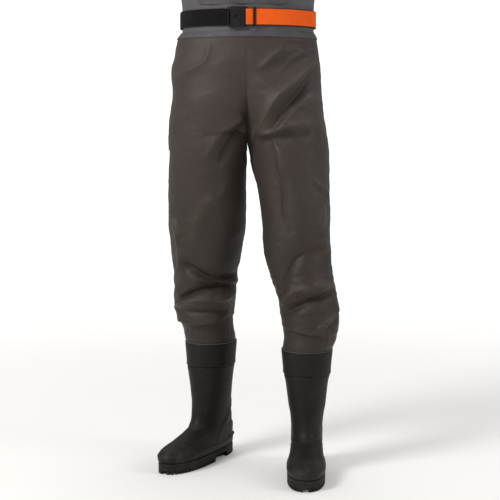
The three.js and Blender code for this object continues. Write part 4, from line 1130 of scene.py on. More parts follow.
RIGHT_FOLDS = (
    Fold(((-155, 640), (-138, 605), (-132, 555), (-134, 505), (-165, 460)), 13, 8.0, 1.3),
    Fold(((-15, 480), (-75, 470), (-125, 508)), 11, -9.0),
    Fold(((10, 458), (-55, 462), (-90, 468), (-122, 486)), 9, 8.0, 1.3),
    Fold(((5, 446), (-65, 452), (-105, 436), (-160, 402)), 10, -9.5),
    Fold(((0, 425), (-60, 420), (-120, 412), (-170, 385)), 15, 7.0),
    Fold(((-25, 388), (-95, 385), (-140, 390)), 7, -4.0),
    Fold(((-120, 1055), (-120, 1005), (-138, 983), (-165, 970)), 6, 3.0, 1.3),
    Fold(((-14, 872), (-40, 840), (-58, 800), (-70, 762)), 11, -6.0),
    Fold(((-16, 892), (-50, 868), (-78, 822), (-92, 772)), 15, 4.6, 1.3),
    Fold(((-30, 838), (-62, 832), (-96, 826)), 9, -4.5),
    Fold(((-60, 700), (-100, 640), (-110, 570)), 24, 4.0),
    Fold(((-250, 520), (-285, 478), (-325, 470)), 12, -8.0),
    Fold(((-235, 490), (-280, 452), (-330, 448)), 11, 7.0, 1.3),
    Fold(((-230, 450), (-275, 424), (-330, 432)), 11, -7.0),
    Fold(((-245, 920), (-275, 880), (-315, 858)), 16, -5.0),
    Fold(((-235, 890), (-270, 850), (-320, 830)), 15, 5.0),
    Fold(((-240, 700), (-270, 640), (-265, 560)), 22, 5.0),
    Fold(((-200, 830), (-215, 740), (-205, 660)), 20, 3.5),
)
LEFT_FOLDS = (
    Fold(((-15, 1046), (-48, 1052), (-72, 1058)), 8, -5.0),
    Fold(((-60, 1048), (-74, 1018), (-90, 988)), 7, 4.5, 1.3),
    Fold(((-45, 1036), (-68, 1006), (-84, 975)), 10, -4.5),
    Fold(((-26, 1026), (-52, 1008), (-76, 958)), 9, -6.0),
    Fold(((-28, 1004), (-60, 958), (-84, 922), (-118, 858), (-146, 820)), 10, 8.5, 1.3),
    Fold(((-30, 985), (-46, 950), (-74, 902), (-108, 842)), 13, -9.0),
    Fold(((-34, 930), (-66, 896), (-104, 836)), 12, 7.0, 1.3),
    Fold(((-46, 862), (-84, 850), (-128, 826)), 10, 6.0, 1.3),
    Fold(((-58, 836), (-92, 826), (-140, 806)), 11, -6.0),
    Fold(((-112, 820), (-104, 780), (-108, 730)), 10, 5.0, 1.3),
    Fold(((-97, 966), (-84, 930)), 6, 2.5, 1.3),
    Fold(((-115, 760), (-108, 700), (-112, 640), (-100, 590)), 12, -4.0),
    Fold(((-56, 718), (-32, 692), (-14, 664)), 8, 5.0, 1.3),
    Fold(((-52, 690), (-44, 640), (-50, 600)), 16, 4.5),
    Fold(((-42, 582), (-38, 545), (-22, 515)), 9, 5.0, 1.3),
    Fold(((-45, 552), (-90, 536), (-130, 470), (-152, 435)), 11, -5.5),
    Fold(((-10, 455), (-55, 442), (-100, 424), (-172, 380)), 10, -8.0),
    Fold(((-5, 480), (-60, 468), (-110, 452), (-165, 412)), 15, 5.5),
    Fold(((-8, 410), (-48, 384), (-76, 364)), 7, 5.5, 1.3),
    Fold(((-20, 388), (-50, 362), (-60, 345)), 7, -4.0),
    Fold(((50, 520), (85, 478), (130, 470)), 12, -8.0),
    Fold(((40, 492), (85, 452), (140, 448)), 11, 7.0, 1.3),
    Fold(((30, 452), (80, 424), (140, 430)), 11, -7.0),
    Fold(((60, 920), (95, 880), (135, 858)), 16, -5.0),
    Fold(((50, 890), (90, 850), (140, 830)), 15, 5.0),
    Fold(((60, 700), (95, 640), (85, 560)), 22, 5.0),
    Fold(((15, 820), (28, 740), (20, 670)), 20, 3.5),
)


@dataclass
class Crumple:
    """The small unevenness of worn coated cloth: a seeded sum of waves through space."""

    seed: int
    waves: int = 26
    shortest: float = 26.0
    longest: float = 95.0

    def lift(self, points: Array) -> Array:
        """Sum of rounded ridges, 0.6 - |sin(k.p + phase)|, each as high as its wave is long.

        Args:
            points: places in millimetres.

        Returns:
            Lifts, about -1 to 1.
        """
        draw = np.random.default_rng(self.seed)
        total = np.zeros(points.shape[:-1])
        weight = 0.0
        for _ in range(self.waves):
            direction = unit(draw.normal(size=3) * np.array([1, 1, 1.5]))
            length = math.exp(draw.uniform(math.log(self.shortest), math.log(self.longest)))
            phase = draw.uniform(0, TURN)
            share = (length / self.longest) ** 1.1
            total += share * (
                0.62 - np.sqrt(np.sin(points @ direction * TURN / length + phase) ** 2 + 0.03)
            )
            weight += share * share
        return total / math.sqrt(weight)


@dataclass
class Leg:
    """One leg of the trousers, from the waist seam to the boot."""

    wardrobe: Wardrobe
    side: Side
    stations: Array
    foot: tuple[float, float, float]  # the boot's middle x and y, and its turn outwards in degrees
    folds: tuple[Fold, ...]
    partner: Array
    fabric: float = 1.2
    across: int = 216
    hem: tuple[tuple[float, float], ...] = ()  # the bloused edge: bearings and heights
    blouse: float = 4.5
    cleft: float = 1.0  # the gap between the legs where they touch

    def outline(self, stations: Array, z: Array) -> tuple[Array, ...]:
        """The leg's middle, half-widths and opening angle at each height.

        The opening is the arc that the other leg takes up above the crotch: the arc cosine of the
        distance of the centre plane over the half-width, growing smoothly from nothing at the crotch.

        Args:
            stations: the leg's table.
            z: heights in millimetres.

        Returns:
            Middle x, middle y, half-width a, half-depth b, opening in radians.
        """
        x, y, a, b = through(stations, (z - BOOT_TOP) / (WAIST - BOOT_TOP)).T
        gap = np.abs(CENTRE_X - x)
        a = np.where(z < CROTCH, np.minimum(a, gap - self.cleft), a)
        opening = np.arccos(np.clip(gap / a, -1, 1)) * ease(z, CROTCH, CROTCH + 60)
        return x, y, a, b, opening

    def surface(self, u: Array, z: Array, off: Array | float = 0.0) -> tuple[Array, Array, Array]:
        """The leg's outer face over a grid.

        Bearings run from the front of the centre seam or inseam round the outside to the back. A point is
        the middle plus (a cos, b sin) of its bearing, turned with the foot low down, held on its own side
        of the centre plane, drawn to the seam it shares with the other leg, and lifted along its normal
        by the folds.

        Args:
            u: places round the leg, 0 to 1.
            z: heights in millimetres.
            off: distance outside the fabric.

        Returns:
            Points in millimetres, outward normals, and lifts.
        """
        x, y, a, b, opening = (v[:, None] for v in self.outline(self.stations, z))
        s = self.side.value
        arc = opening + u[None] * (TURN - 2 * opening)
        bearing = -arc if s < 0 else arc - math.pi
        turn = np.radians(self.foot[2]) * np.clip(
            1 - (z - BOOT_TOP) / (WAIST - BOOT_TOP) / 0.2, 0, 1
        )[:, None]
        px, py = a * np.cos(bearing), b * np.sin(bearing)
        points = np.stack(
            [
                x + px * np.cos(turn) - py * np.sin(turn), y + px * np.sin(turn) + py * np.cos(turn),
                z[:, None] + 0 * px
            ], -1
        )
        joined = ease(z, CROTCH - 12, CROTCH)[:, None]
        limit = CENTRE_X + s * 0.05
        held = np.maximum(points[..., 0] * s, limit * s) * s
        points[..., 0] = points[..., 0] * (1 - joined) + held * joined
        points[..., 1] += self.seam_shift(z, u)
        if s < 0:
            normals = -grid_normals(points)
        else:
            normals = grid_normals(points)
        closed = z < CROTCH
        ends = unit(normals[closed, 0] + normals[closed, -1])
        normals[closed, 0] = normals[closed, -1] = ends
        degrees = np.degrees(bearing)
        lift = self.lift(degrees, z[:, None] + 0 * degrees, points)
        edge = np.minimum(u, 1 - u)[None]
        fade = 1 - ease(z, CROTCH - 30, CROTCH + 20)[:, None] * (1 - ease(edge, 0.0, 0.05))
        lift = lift * fade
        seam = (edge < 1e-9) & (z[:, None] >= CROTCH)
        normals[..., 0] = np.where(seam, 0.0, normals[..., 0])
        normals = unit(normals)
        moved = points + normals * (lift + off)[..., None]
        over = z[:, None] - self.hem_height(degrees)
        moved[..., 2] -= 4.0 * self.facing(degrees) * bump(over - 4, 7) * (z[:, None] > BOOT_TOP + 20)
        return moved, normals, lift

    def hem_height(self, degrees: Array) -> Array:
        """The height of the bloused edge at each bearing."""
        table = np.array(self.hem)
        return np.interp(degrees, table[:, 0], table[:, 1], period=360)

    def bloused(self, degrees: Array, z: Array) -> Array:
        """The cloth's bag above its tied-in end: it swells, fading upwards, and draws in under its edge."""
        over = z - self.hem_height(degrees)
        swell = self.blouse * np.exp(-np.maximum(over, 0) / 30) * ease(over, -4, 2)
        drawn = -0.75 * self.blouse * (1 - ease(over, -7, 0)) * ease(z, BOOT_TOP + 4, BOOT_TOP + 34)
        return (swell + drawn) * (0.22 + 0.78 * self.facing(degrees))

    @staticmethod
    def facing(degrees: Array) -> Array:
        """How far a bearing looks forwards or backwards: 0 at the leg's two sides, 1 well off them."""
        return ease(np.abs(np.sin(np.radians(degrees))), 0.1, 0.75)

    def seam_shift(self, z: Array, u: Array) -> Array:
        """How far points near the centre seam move along Y, so that both legs meet midway."""
        mine, other = self.outline(self.stations, z), self.outline(self.partner, z)
        total = np.zeros((len(z), len(u)))
        for sign, edge in ((-1, u), (1, 1 - u)):
            own = mine[1] + sign * mine[3] * np.sin(mine[4])
            twin = other[1] + sign * other[3] * np.sin(other[4])
            shift = (own + twin) / 2 - own
            shift = shift * ease(z, CROTCH - 80, CROTCH)
            total += shift[:, None] * (1 - ease(edge, 0, 0.16))[None]
        return total

    def lift(self, degrees: Array, z: Array, points: Array) -> Array:
        """The sum of every fold, seen at each whole turn, and the crumple, quiet at the waist and boot."""
        total = np.zeros_like(degrees)
        for fold in self.folds:
            for turn in (-360, 0, 360):
                total += fold.lift(degrees + turn, z)
        quiet = ease(z, BOOT_TOP + 4, BOOT_TOP + 40) * (1 - ease(z, WAIST - 26, WAIST - 6))
        rough = Crumple(7 + self.side.value).lift(points)
        fine = Crumple(17 + self.side.value, 18, 9.0, 24.0).lift(points)
        broad = Crumple(27 + self.side.value, 9, 110.0, 260.0).lift(points)
        worn = 0.8 + 1.3 * bump(z - 440, 80) + 0.6 * bump(z - 830, 80)
        tied = ease(z, BOOT_TOP + 36, BOOT_TOP + 66)
        gathered = np.sin(np.radians(degrees) * 23 + 1.5 * np.sin(np.radians(degrees) * 5)) * 0.7 * bump(
            z - 322, 20
        )
        total = total * (0.35 + 0.65 * self.facing(degrees))
        cloth = total * (0.35 + 0.65 * tied) + (rough * worn + broad * 2.4) * tied + fine * 0.22 + gathered
        return (cloth + self.bloused(degrees, z)) * quiet

    def build(self) -> None:
        """Makes the leg's two pieces of fabric and its seam tapes."""
        word = self.side.word
        u = np.linspace(0, 1, self.across)
        upper = np.concatenate(
            [np.arange(SPLIT, CROTCH, 3.0), np.arange(CROTCH, WAIST - 1, 3.0), [WAIST - 0.3]]
        )
        lower = np.concatenate([[BOOT_TOP - 8], np.arange(BOOT_TOP - 2, SPLIT, 2.6), [SPLIT]])
        made = self.sheet(f"trouser_upper_{word}", u, upper)
        self.wardrobe.paint(made, "coated_trouser_fabric", f"seat_{word}", f"thigh_{word}")
        self.blend_hip(made)
        made = self.sheet(f"trouser_lower_{word}", u, lower)
        self.wardrobe.paint(made, "coated_trouser_fabric", f"knee_{word}", f"shin_{word}")
        self.blend_knee(made)
        self.tapes()

    def sheet(self, name: str, u: Array, z: Array) -> bpy.types.Object:
        """A length of the leg as a double-walled sheet, closed round the leg below the crotch."""
        whole = np.unique(np.concatenate([z, [z[0] - 3.2, z[-1] + 3.2]]))
        whole = whole[(whole <= WAIST)]
        points, normals, lift = self.surface(u, whole)
        rows = np.isin(whole, z)
        points, normals, lift = points[rows], normals[rows], lift[rows]
        inner = points - normals * self.fabric
        closed = z < CROTCH
        inner[closed, -1] = inner[closed, 0]
        points[closed, -1] = points[closed, 0]
        if self.side is Side.RIGHT:
            points, inner, lift = points[:, ::-1], inner[:, ::-1], lift[:, ::-1]
        patch = Patchwork()
        open_rows = slice(int(np.argmax(~closed)) - 1 if (~closed).any() else 0, None)
        relief = np.clip(lift / 8.0, -1, 1)
        if (~closed).any():
            patch.shell(frame_point(points), frame_point(inner), relief=relief, side_rows=open_rows)
        else:
            patch.grid(frame_point(points), relief=relief)
            patch.grid(frame_point(inner), flipped=True, relief=relief)
            patch.grid(frame_point(np.stack([inner[0], points[0]])))
            patch.grid(frame_point(np.stack([points[-1], inner[-1]])))
        return patch.object(name, 60)

    def blend_hip(self, made: bpy.types.Object) -> None:
        """Bakes a piece's transform into its mesh; it is not bent over the hip."""
        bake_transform(made)

    def blend_knee(self, made: bpy.types.Object) -> None:
        """Bakes a piece's transform into its mesh; it is not bent over the knee."""
        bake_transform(made)

    def tapes(self) -> None:
        """The welded tape down the outside seam: a domed strip that follows the folds."""
        word = self.side.word
        u = 0.5 + np.linspace(-0.0115, 0.0115, 9)
        crown = 0.35 * np.sqrt(np.clip(1 - np.linspace(-1, 1, 9) ** 6, 0, 1))[None]
        z = np.arange(SPLIT, WAIST - 14, 3.0)
        outer = self.surface(u, z, 0.12 + crown)[0]
        inner = self.surface(u, z, 0.03)[0]
        if self.side is Side.RIGHT:
            outer, inner = outer[:, ::-1], inner[:, ::-1]
        patch = Patchwork()
        patch.shell(frame_point(outer), frame_point(inner))
        made = patch.object(f"outseam_tape_{word}")
        self.wardrobe.paint(
            made, "dark_welded_tape", f"outseam_tape_seat_{word}", f"outseam_tape_thigh_{word}"
        )
        self.blend_hip(made)


# ------------------------------------------------------------------ boots

FOOT = np.array(
    [  # height, reach back and forward from the shaft, half-width at heel and ball, millimetres
        [26, 86, 213, 35, 48.5], [40, 88, 216, 37, 51], [50, 87, 209, 37, 48], [58, 86, 186, 37, 44],
        [66, 84.5, 152, 37, 41], [76, 83, 117, 37, 38.5], [88, 80, 90, 37, 38], [102, 77, 77, 38, 38.5],
        [120, 73, 71, 39, 39.5], [145, 70, 68, 41.5, 41.5], [163, 68, 67, 45, 45],
        [194, 67.5, 67, 49.5, 49.5],
        [225, 68, 68, 54, 54], [242, 68.5, 68.5, 57, 57], [244, 66.5, 66.5, 55, 55],
        [302, 68.5, 68.5, 59.5, 59.5],
    ]
)


@dataclass
class Boot:
    """A moulded boot: upper, cuff band, weld bead, heel spur, sole with cleats, and footbed."""

    wardrobe: Wardrobe
    side: Side
    foot: tuple[float, float, float]
    wall: float = 3.0
    around: int = 168

    def place(self, points: Array) -> Array:
        """Points of the boot's own frame, +X to the toes, turned and set down in the frame."""
        a = math.radians(-90 + self.foot[2])
        x, y = points[..., 0], points[..., 1]
        turned = np.stack(
            [
                x * math.cos(a) - y * math.sin(a) + self.foot[0],
                x * math.sin(a) + y * math.cos(a) + self.foot[1], points[..., 2]
            ], -1
        )
        return frame_point(turned)

    def ring(self, z: Array, off: Array | float = 0.0, angle: Array | None = None) -> Array:
        """The boot's level outlines: a boxy ellipse whose half-width eases from the heel's to the ball's.

        Args:
            z: heights, one for each row, millimetres.
            off: distance outside, one or one for each row or point.
            angle: radians round the outline, 0 at the toe.

        Returns:
            Rows by points in the boot's own frame.
        """
        if angle is None:
            angle = np.linspace(0, TURN, self.around + 1)[:-1]
        back, front, heel, ball = (v[:, None] for v in through(FOOT, np.atleast_1d(z)).T)
        off = np.broadcast_to(
            np.asarray(off, float) if np.ndim(off) != 1 else np.asarray(off)[:, None],
            (len(back), len(angle))
        )
        boxy = 1 - 0.15 * ease(front - back, 8, 24)
        c, s = np.cos(angle)[None], np.sin(angle)[None]
        along, across = np.sign(c) * np.abs(c) ** boxy, np.sign(s) * np.abs(s) ** boxy
        forward = ease((along + 1) / 2)
        x = (front - back) / 2 + ((front + back) / 2 + off) * along
        y = (heel + (ball - heel) * forward + off) * across
        return np.stack([x, y, np.broadcast_to(np.atleast_1d(z)[:, None], x.shape)], -1)

    def build(self) -> None:
        """Makes every piece of the boot."""
        self.upper()
        self.band()
        self.bead()
        self.spur()
        self.sole()
        self.footbed()

    def detail(self, x: Array, y: Array, z: Array) -> Array:
        """The upper's moulded relief: foxing strip, toe cap, ankle ribs, heel counter, soft dents.

        Args:
            x: places along the foot, millimetres.
            y: places across it.
            z: heights.

        Returns:
            Distances outwards.
        """
        foxing = 1.5 * (1 - ease(z, 43.0, 45.0)) - 0.8 * bump(z - 34.5, 1.0)
        cap_line = x - (150 + 0.2 * (z - 40) - 16 * (y / 50) ** 2)
        cap = 1.2 * ease(cap_line, 0.0, 2.5) * (1 - ease(z, 80, 88)) - 0.6 * bump(cap_line + 2.4, 1.4)
        ribs = np.zeros_like(x)
        for k in (0.0, 10.0):
            line = z - (146 - k - (x + 56) * 0.98)
            ribs = ribs + 1.7 * bump(line, 2.4) * ease(x, -64, -54) * (1 - ease(x, 22, 36)) * (z > 44)
        counter_line = x + 36 + 0.3 * (z - 60)
        counter = 0.9 * (1 - ease(counter_line, -2.5, 0.5)) * (1 - ease(z, 112, 118)) * ease(z, 46, 50)
        instep = z - (70 + (150 - x) * 0.2)
        wrinkle = 1.0 * (bump(instep - 8, 5) - bump(instep + 2, 5) + 0.8 * bump(instep + 12, 5))
        wrinkle = wrinkle * ease(x, 40, 70) * (1 - ease(x, 108, 132)) * ease(z, 50, 60)
        shaft = ease(z, 118, 160) * (1 - ease(z, 232, 243))
        around = np.arctan2(y, x)
        dents = 0.8 * shaft * (np.sin(z / 29 + 2 * around) + 0.7 * np.sin(z / 47 - around + 1))
        return foxing + cap + ribs + counter + wrinkle + dents

    def upper(self) -> None:
        """The boot's upper: outer face with its relief, rim, inner face and floor, closed underneath."""
        z = np.concatenate(
            [
                np.arange(26, 60, 1.0), np.arange(60, 160, 1.6), np.arange(160, 243.9, 2.4),
                [244, 262, 280, 302]
            ]
        )
        base = self.ring(z)
        relief = self.detail(base[..., 0], base[..., 1], base[..., 2])
        relief = relief * (1 - ease(z, 240, 243.5))[:, None]
        sunk = (2.6 * (1 - ease(z, 26, 30)))[:, None]
        outer = self.ring(z, relief - sunk)
        inside = self.ring(z[z > 31][::-1], -self.wall)
        inside[..., 2] -= (self.wall * (ease(z, 42, 48) * (1 - ease(z, 130, 150))))[z > 31][::-1, None]
        floor = inside[-1:].copy()
        floor[..., 2] = 29.5
        bottom = outer[:1]
        rows = capped(np.concatenate([bottom, outer, inside, floor]))
        grown = np.concatenate(
            [np.zeros((2, self.around)), relief, np.zeros((len(inside) + 2, self.around))]
        )
        patch = Patchwork()
        patch.grid(self.place(rows), wrapped=True, relief=np.clip(grown / 2.0, 0, 1))
        name = f"boot_upper_shell_{self.side.word}"
        made = patch.object(name, 45, weld=4e-6)
        self.wardrobe.dress(made, "matt_boot_rubber", self.body, f"boot_upper_{self.side.word}")

    @property
    def body(self) -> str:
        """The body that the boot belongs to."""
        return f"lower_leg_{self.side.word}"

    def band(self) -> None:
        """The band moulded over the boot's top: a wall with a step at its foot and a rounded upper rim."""
        z = np.array([244, 244, 245, 246, 247.5, 248.5, 250, 260, 270, 280, 290, 297, 300, 301.4, 302, 302])
        out = np.array([1.9, 2.9, 3.9, 4.4, 4.5, 4.2, 4.1, 4.1, 4.2, 4.2, 4.2, 4.2, 4.1, 3.6, 2.8, 1.9])
        soft = np.sin(np.linspace(0, TURN, self.around + 1)[:-1] * 3 + 0.6) * 0.25
        rows = self.ring(z, out[:, None] + soft[None] * (out > 4)[:, None])
        inner = self.ring(np.array([302.0, 244.0]), 1.85)
        rows = np.concatenate([rows, inner, rows[:1]])
        patch = Patchwork()
        relief = np.concatenate([np.clip((out - 4.3), 0, 1), [0, 0, 0]])[:, None] * np.ones(
            (1, self.around)
        )
        patch.grid(self.place(rows), wrapped=True, relief=relief)
        made = patch.object(f"boot_cuff_{self.side.word}", 40)
        self.wardrobe.dress(made, "matt_boot_rubber", self.body, f"boot_cuff_band_{self.side.word}")

    def bead(self) -> None:
        """The pale bead of weld at the band's top: a small oval section carried round."""
        turn = np.linspace(0, TURN, 11)[:-1]
        z = 303.3 + 1.25 * np.sin(turn)
        rows = self.ring(z, 3.1 + 1.15 * np.cos(turn))
        patch = Patchwork()
        patch.grid(self.place(np.concatenate([rows, rows[:1]])), wrapped=True)
        made = patch.object(f"boot_weld_line_{self.side.word}")
        self.wardrobe.dress(made, "welded_tape", self.body, f"boot_weld_bead_{self.side.word}")

    def spur(self) -> None:
        """The kick-off ledge: a rounded lip round the back of the heel that tapers out at its ends."""
        angle = np.linspace(math.pi * 0.70, math.pi * 1.30, 70)
        share = np.linspace(-1, 1, 70)
        reach = 4.2 * np.sqrt(np.clip(1 - share**6, 0, 1)) + 0.2
        turn = np.linspace(-math.pi / 2, math.pi / 2, 9)
        rows = []
        for t in turn:
            row = self.ring(np.array([49.0]), 1.2 + reach[None] * math.cos(t), angle)[0]
            row[:, 2] = 49.0 + 3.0 * math.sin(t)
            rows.append(row)
        back = self.ring(np.array([49.0]), 0.6, angle)[0]
        low, high = back.copy(), back.copy()
        low[:, 2], high[:, 2] = 46.0, 52.0
        sections = np.transpose(np.stack([low, *rows, high]), (1, 0, 2))
        patch = Patchwork()
        patch.grid(self.place(capped(sections)), wrapped=True)
        made = patch.object(f"boot_kick_ledge_{self.side.word}", 50)
        self.wardrobe.dress(made, "matt_boot_rubber", self.body, f"boot_heel_spur_{self.side.word}")

    def sole(self) -> None:
        """The outsole: a slab with a welt groove and a raised arch, and cleats cut to the outline."""
        angle = np.linspace(0, TURN, self.around + 1)[:-1]
        rim = self.ring(np.array([30.0]), 1.6, angle)[0]

        def arch(x: Array) -> Array:
            """The tread face's height: raised between heel and ball."""
            return 7 + 7.5 * ease(x, -25, -20) * (1 - ease(x, 34, 42))

        levels = (
            (0.0, -1.6), (0.12, -0.4), (0.3, 0.0), (0.52, 0.1), (0.58, -1.1), (0.64, 0.1), (0.92, 0.0),
            (1.0, -0.8)
        )
        away = unit(rim[:, :2] - np.array([50.0, 0.0]) * np.array([1, 0]))
        rows = []
        for share, off in levels:
            row = rim.copy()
            row[:, :2] = rim[:, :2] + away * off
            row[:, 2] = arch(rim[:, 0]) + share * (25.7 - arch(rim[:, 0]))
            rows.append(row)
        spine = np.stack([rim[:, 0], rim[:, 1] * 0, rim[:, 2]], -1)
        inward = []
        for share in (0.98, 0.9, 0.7, 0.45, 0.2, 0.0):
            row = spine + (rows[0] - spine) * share
            row[:, 2] = arch(row[:, 0])
            inward.append(row)
        roof = []
        for share in (0.9, 0.5, 0.0):
            row = spine + (rows[-1] - spine) * share
            row[:, 2] = 25.7
            roof.append(row)
        grid = np.stack([*inward[::-1], *rows, *roof])
        patch = Patchwork()
        patch.grid(self.place(grid), wrapped=True)
        edge = np.concatenate([rim, rim[:1]])
        run = np.concatenate([[0], np.cumsum(np.linalg.norm(np.diff(edge[:, :2], axis=0), axis=1))])
        count = int(run[-1] / 10.8)
        for start in np.arange(count) * run[-1] / count:
            along = np.interp(start + np.linspace(-3.6, 3.6, 4), run, np.arange(len(run)), period=run[-1])
            block = np.stack([np.interp(along, np.arange(len(edge)), edge[:, k]) for k in (0, 1)], -1)
            if -23.5 < block[:, 0].mean() < 42:
                continue
            depth = 13.0 if block[:, 0].mean() > 0 else 11.0
            lug = self.cleat(block, block - unit(block - self.hub(block)) * depth)
            patch.grid(self.place(lug), wrapped=True, relief=np.full(lug.shape[:2], 0.4))
        upper = (angle > 0) & (angle < math.pi)
        order = np.argsort(rim[upper, 0])
        for start in (*np.arange(48.0, 190.0, 11.2), *np.arange(-34.0, -66.0, -11.2)):
            x = np.array([start, start + 7.4])
            reach = np.interp(x, rim[upper, 0][order], rim[upper, 1][order]) - 17.0
            for side in (-1, 1):
                bar = self.cleat(np.stack([x, reach * side], -1), np.stack([x, np.full(2, 2.5 * side)], -1))
                patch.grid(self.place(bar), wrapped=True, relief=np.full(bar.shape[:2], 0.3))
        made = patch.object(f"boot_tread_{self.side.word}", 35)
        self.wardrobe.dress(made, "tread_rubber", self.body, f"boot_outsole_{self.side.word}")

    @staticmethod
    def hub(block: Array) -> Array:
        """The point of the sole's middle line that a block of its edge faces."""
        middle_x = np.clip(block[:, 0].mean(), -48, 168)
        return np.array([middle_x, 0.0])

    @staticmethod
    def cleat(outer: Array, inner: Array) -> Array:
        """One cleat as a capped prism with a narrower foot: its outline shrinks to its middle, low down.

        Args:
            outer: level points along its outer face, millimetres.
            inner: level points along its inner face, in the same order.

        Returns:
            Rows of the closed prism.
        """
        outline = np.concatenate([outer, inner[::-1]])
        mid = outline.mean(0)
        spokes = outline - mid
        if np.sum(spokes[:, 0] * np.roll(spokes[:, 1], -1) - spokes[:, 1] * np.roll(spokes[:, 0], -1)) < 0:
            outline = outline[::-1]
        rows = []
        for height, scale in ((0.0, 0.88), (1.2, 0.97), (7.4, 1.0)):
            flat = mid + (outline - mid) * scale
            rows.append(np.concatenate([flat, np.full((len(flat), 1), height)], 1))
        return capped(np.stack(rows))

    def footbed(self) -> None:
        """The felt footbed, rounded at its edge."""
        rows = self.ring(np.array([33.0] * 4), np.array([-6.0, -4.0, -3.9, -5.5]))
        for k, height in enumerate((30.0, 31.0, 33.6, 34.8)):
            rows[k, :, 2] = height
        patch = Patchwork()
        patch.grid(self.place(capped(rows)), wrapped=True)
        made = patch.object(f"boot_footbed_{self.side.word}", weld=4e-6)
        self.wardrobe.dress(made, "footbed_felt_cloth", self.body, f"boot_insole_{self.side.word}")


# ------------------------------------------------------------------ belt, braces and buckles


def moulded_copy(node: str, name: str, radius: float) -> bpy.types.Object:
    """A CAD node's own shape with its flat faces merged and its edges rounded.

    Args:
        node: the CAD node.
        name: the new piece's name.
        radius: of the rounding, millimetres.

    Returns:
        The new object.
    """
    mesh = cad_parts[node].data.copy()
    body = bmesh.new()
    body.from_mesh(mesh)
    bmesh.ops.remove_doubles(body, verts=body.verts, dist=1e-5)
    bmesh.ops.dissolve_limit(body, angle_limit=math.radians(1.0), verts=body.verts, edges=body.edges)
    body.to_mesh(mesh)
    body.free()
    mesh.name = name
    mesh.shade_flat()
    made = bpy.data.objects.new(name, mesh)
    bpy.context.scene.collection.objects.link(made)
    bevel = made.modifiers.new("rounded edges", "BEVEL")
    bevel.width, bevel.segments, bevel.limit_method = radius * MM, 2, "ANGLE"
    bevel.angle_limit = math.radians(28)
    bevel.harden_normals = True
    return made


@dataclass
class Hardware:
    """The moulded and metal pieces that keep the CAD's shape: buckles, keeper, glides, zip slider, pull."""

    wardrobe: Wardrobe

    def build(self) -> None:
        """Copies each node with rounded edges and its finish."""
        rows = [
            ("belt_buckle_socket", "garment", 1.0), ("belt_buckle_plug", "belt_front", 0.6),
            ("belt_buckle_prong_upper", "belt_prong_upper", 0.5),
            ("belt_buckle_prong_lower", "belt_prong_lower", 0.5),
            ("belt_keeper", "belt_keeper", 0.5), ("pocket_zip_slider", "zip_slider", 0.3),
            ("pocket_zip_pull", "zip_pull", 0.3),
        ]
        for side in Side:
            w = side.word
            rows += [
                (f"brace_socket_{w}", "garment", 1.0), (f"brace_plug_{w}", f"brace_front_{w}", 0.6),
                (f"brace_prong_inner_{w}", f"brace_prong_inner_{w}", 0.5),
                (f"brace_prong_outer_{w}", f"brace_prong_outer_{w}", 0.5),
                (f"brace_glide_{w}", f"brace_glide_{w}", 0.6),
            ]
        for node, body, radius in rows:
            finish = "dark_zip_metal" if "zip" in node else "moulded_black_plastic"
            made = moulded_copy(node, f"{node}_moulded", radius)
            self.wardrobe.dress(made, finish, body, node)


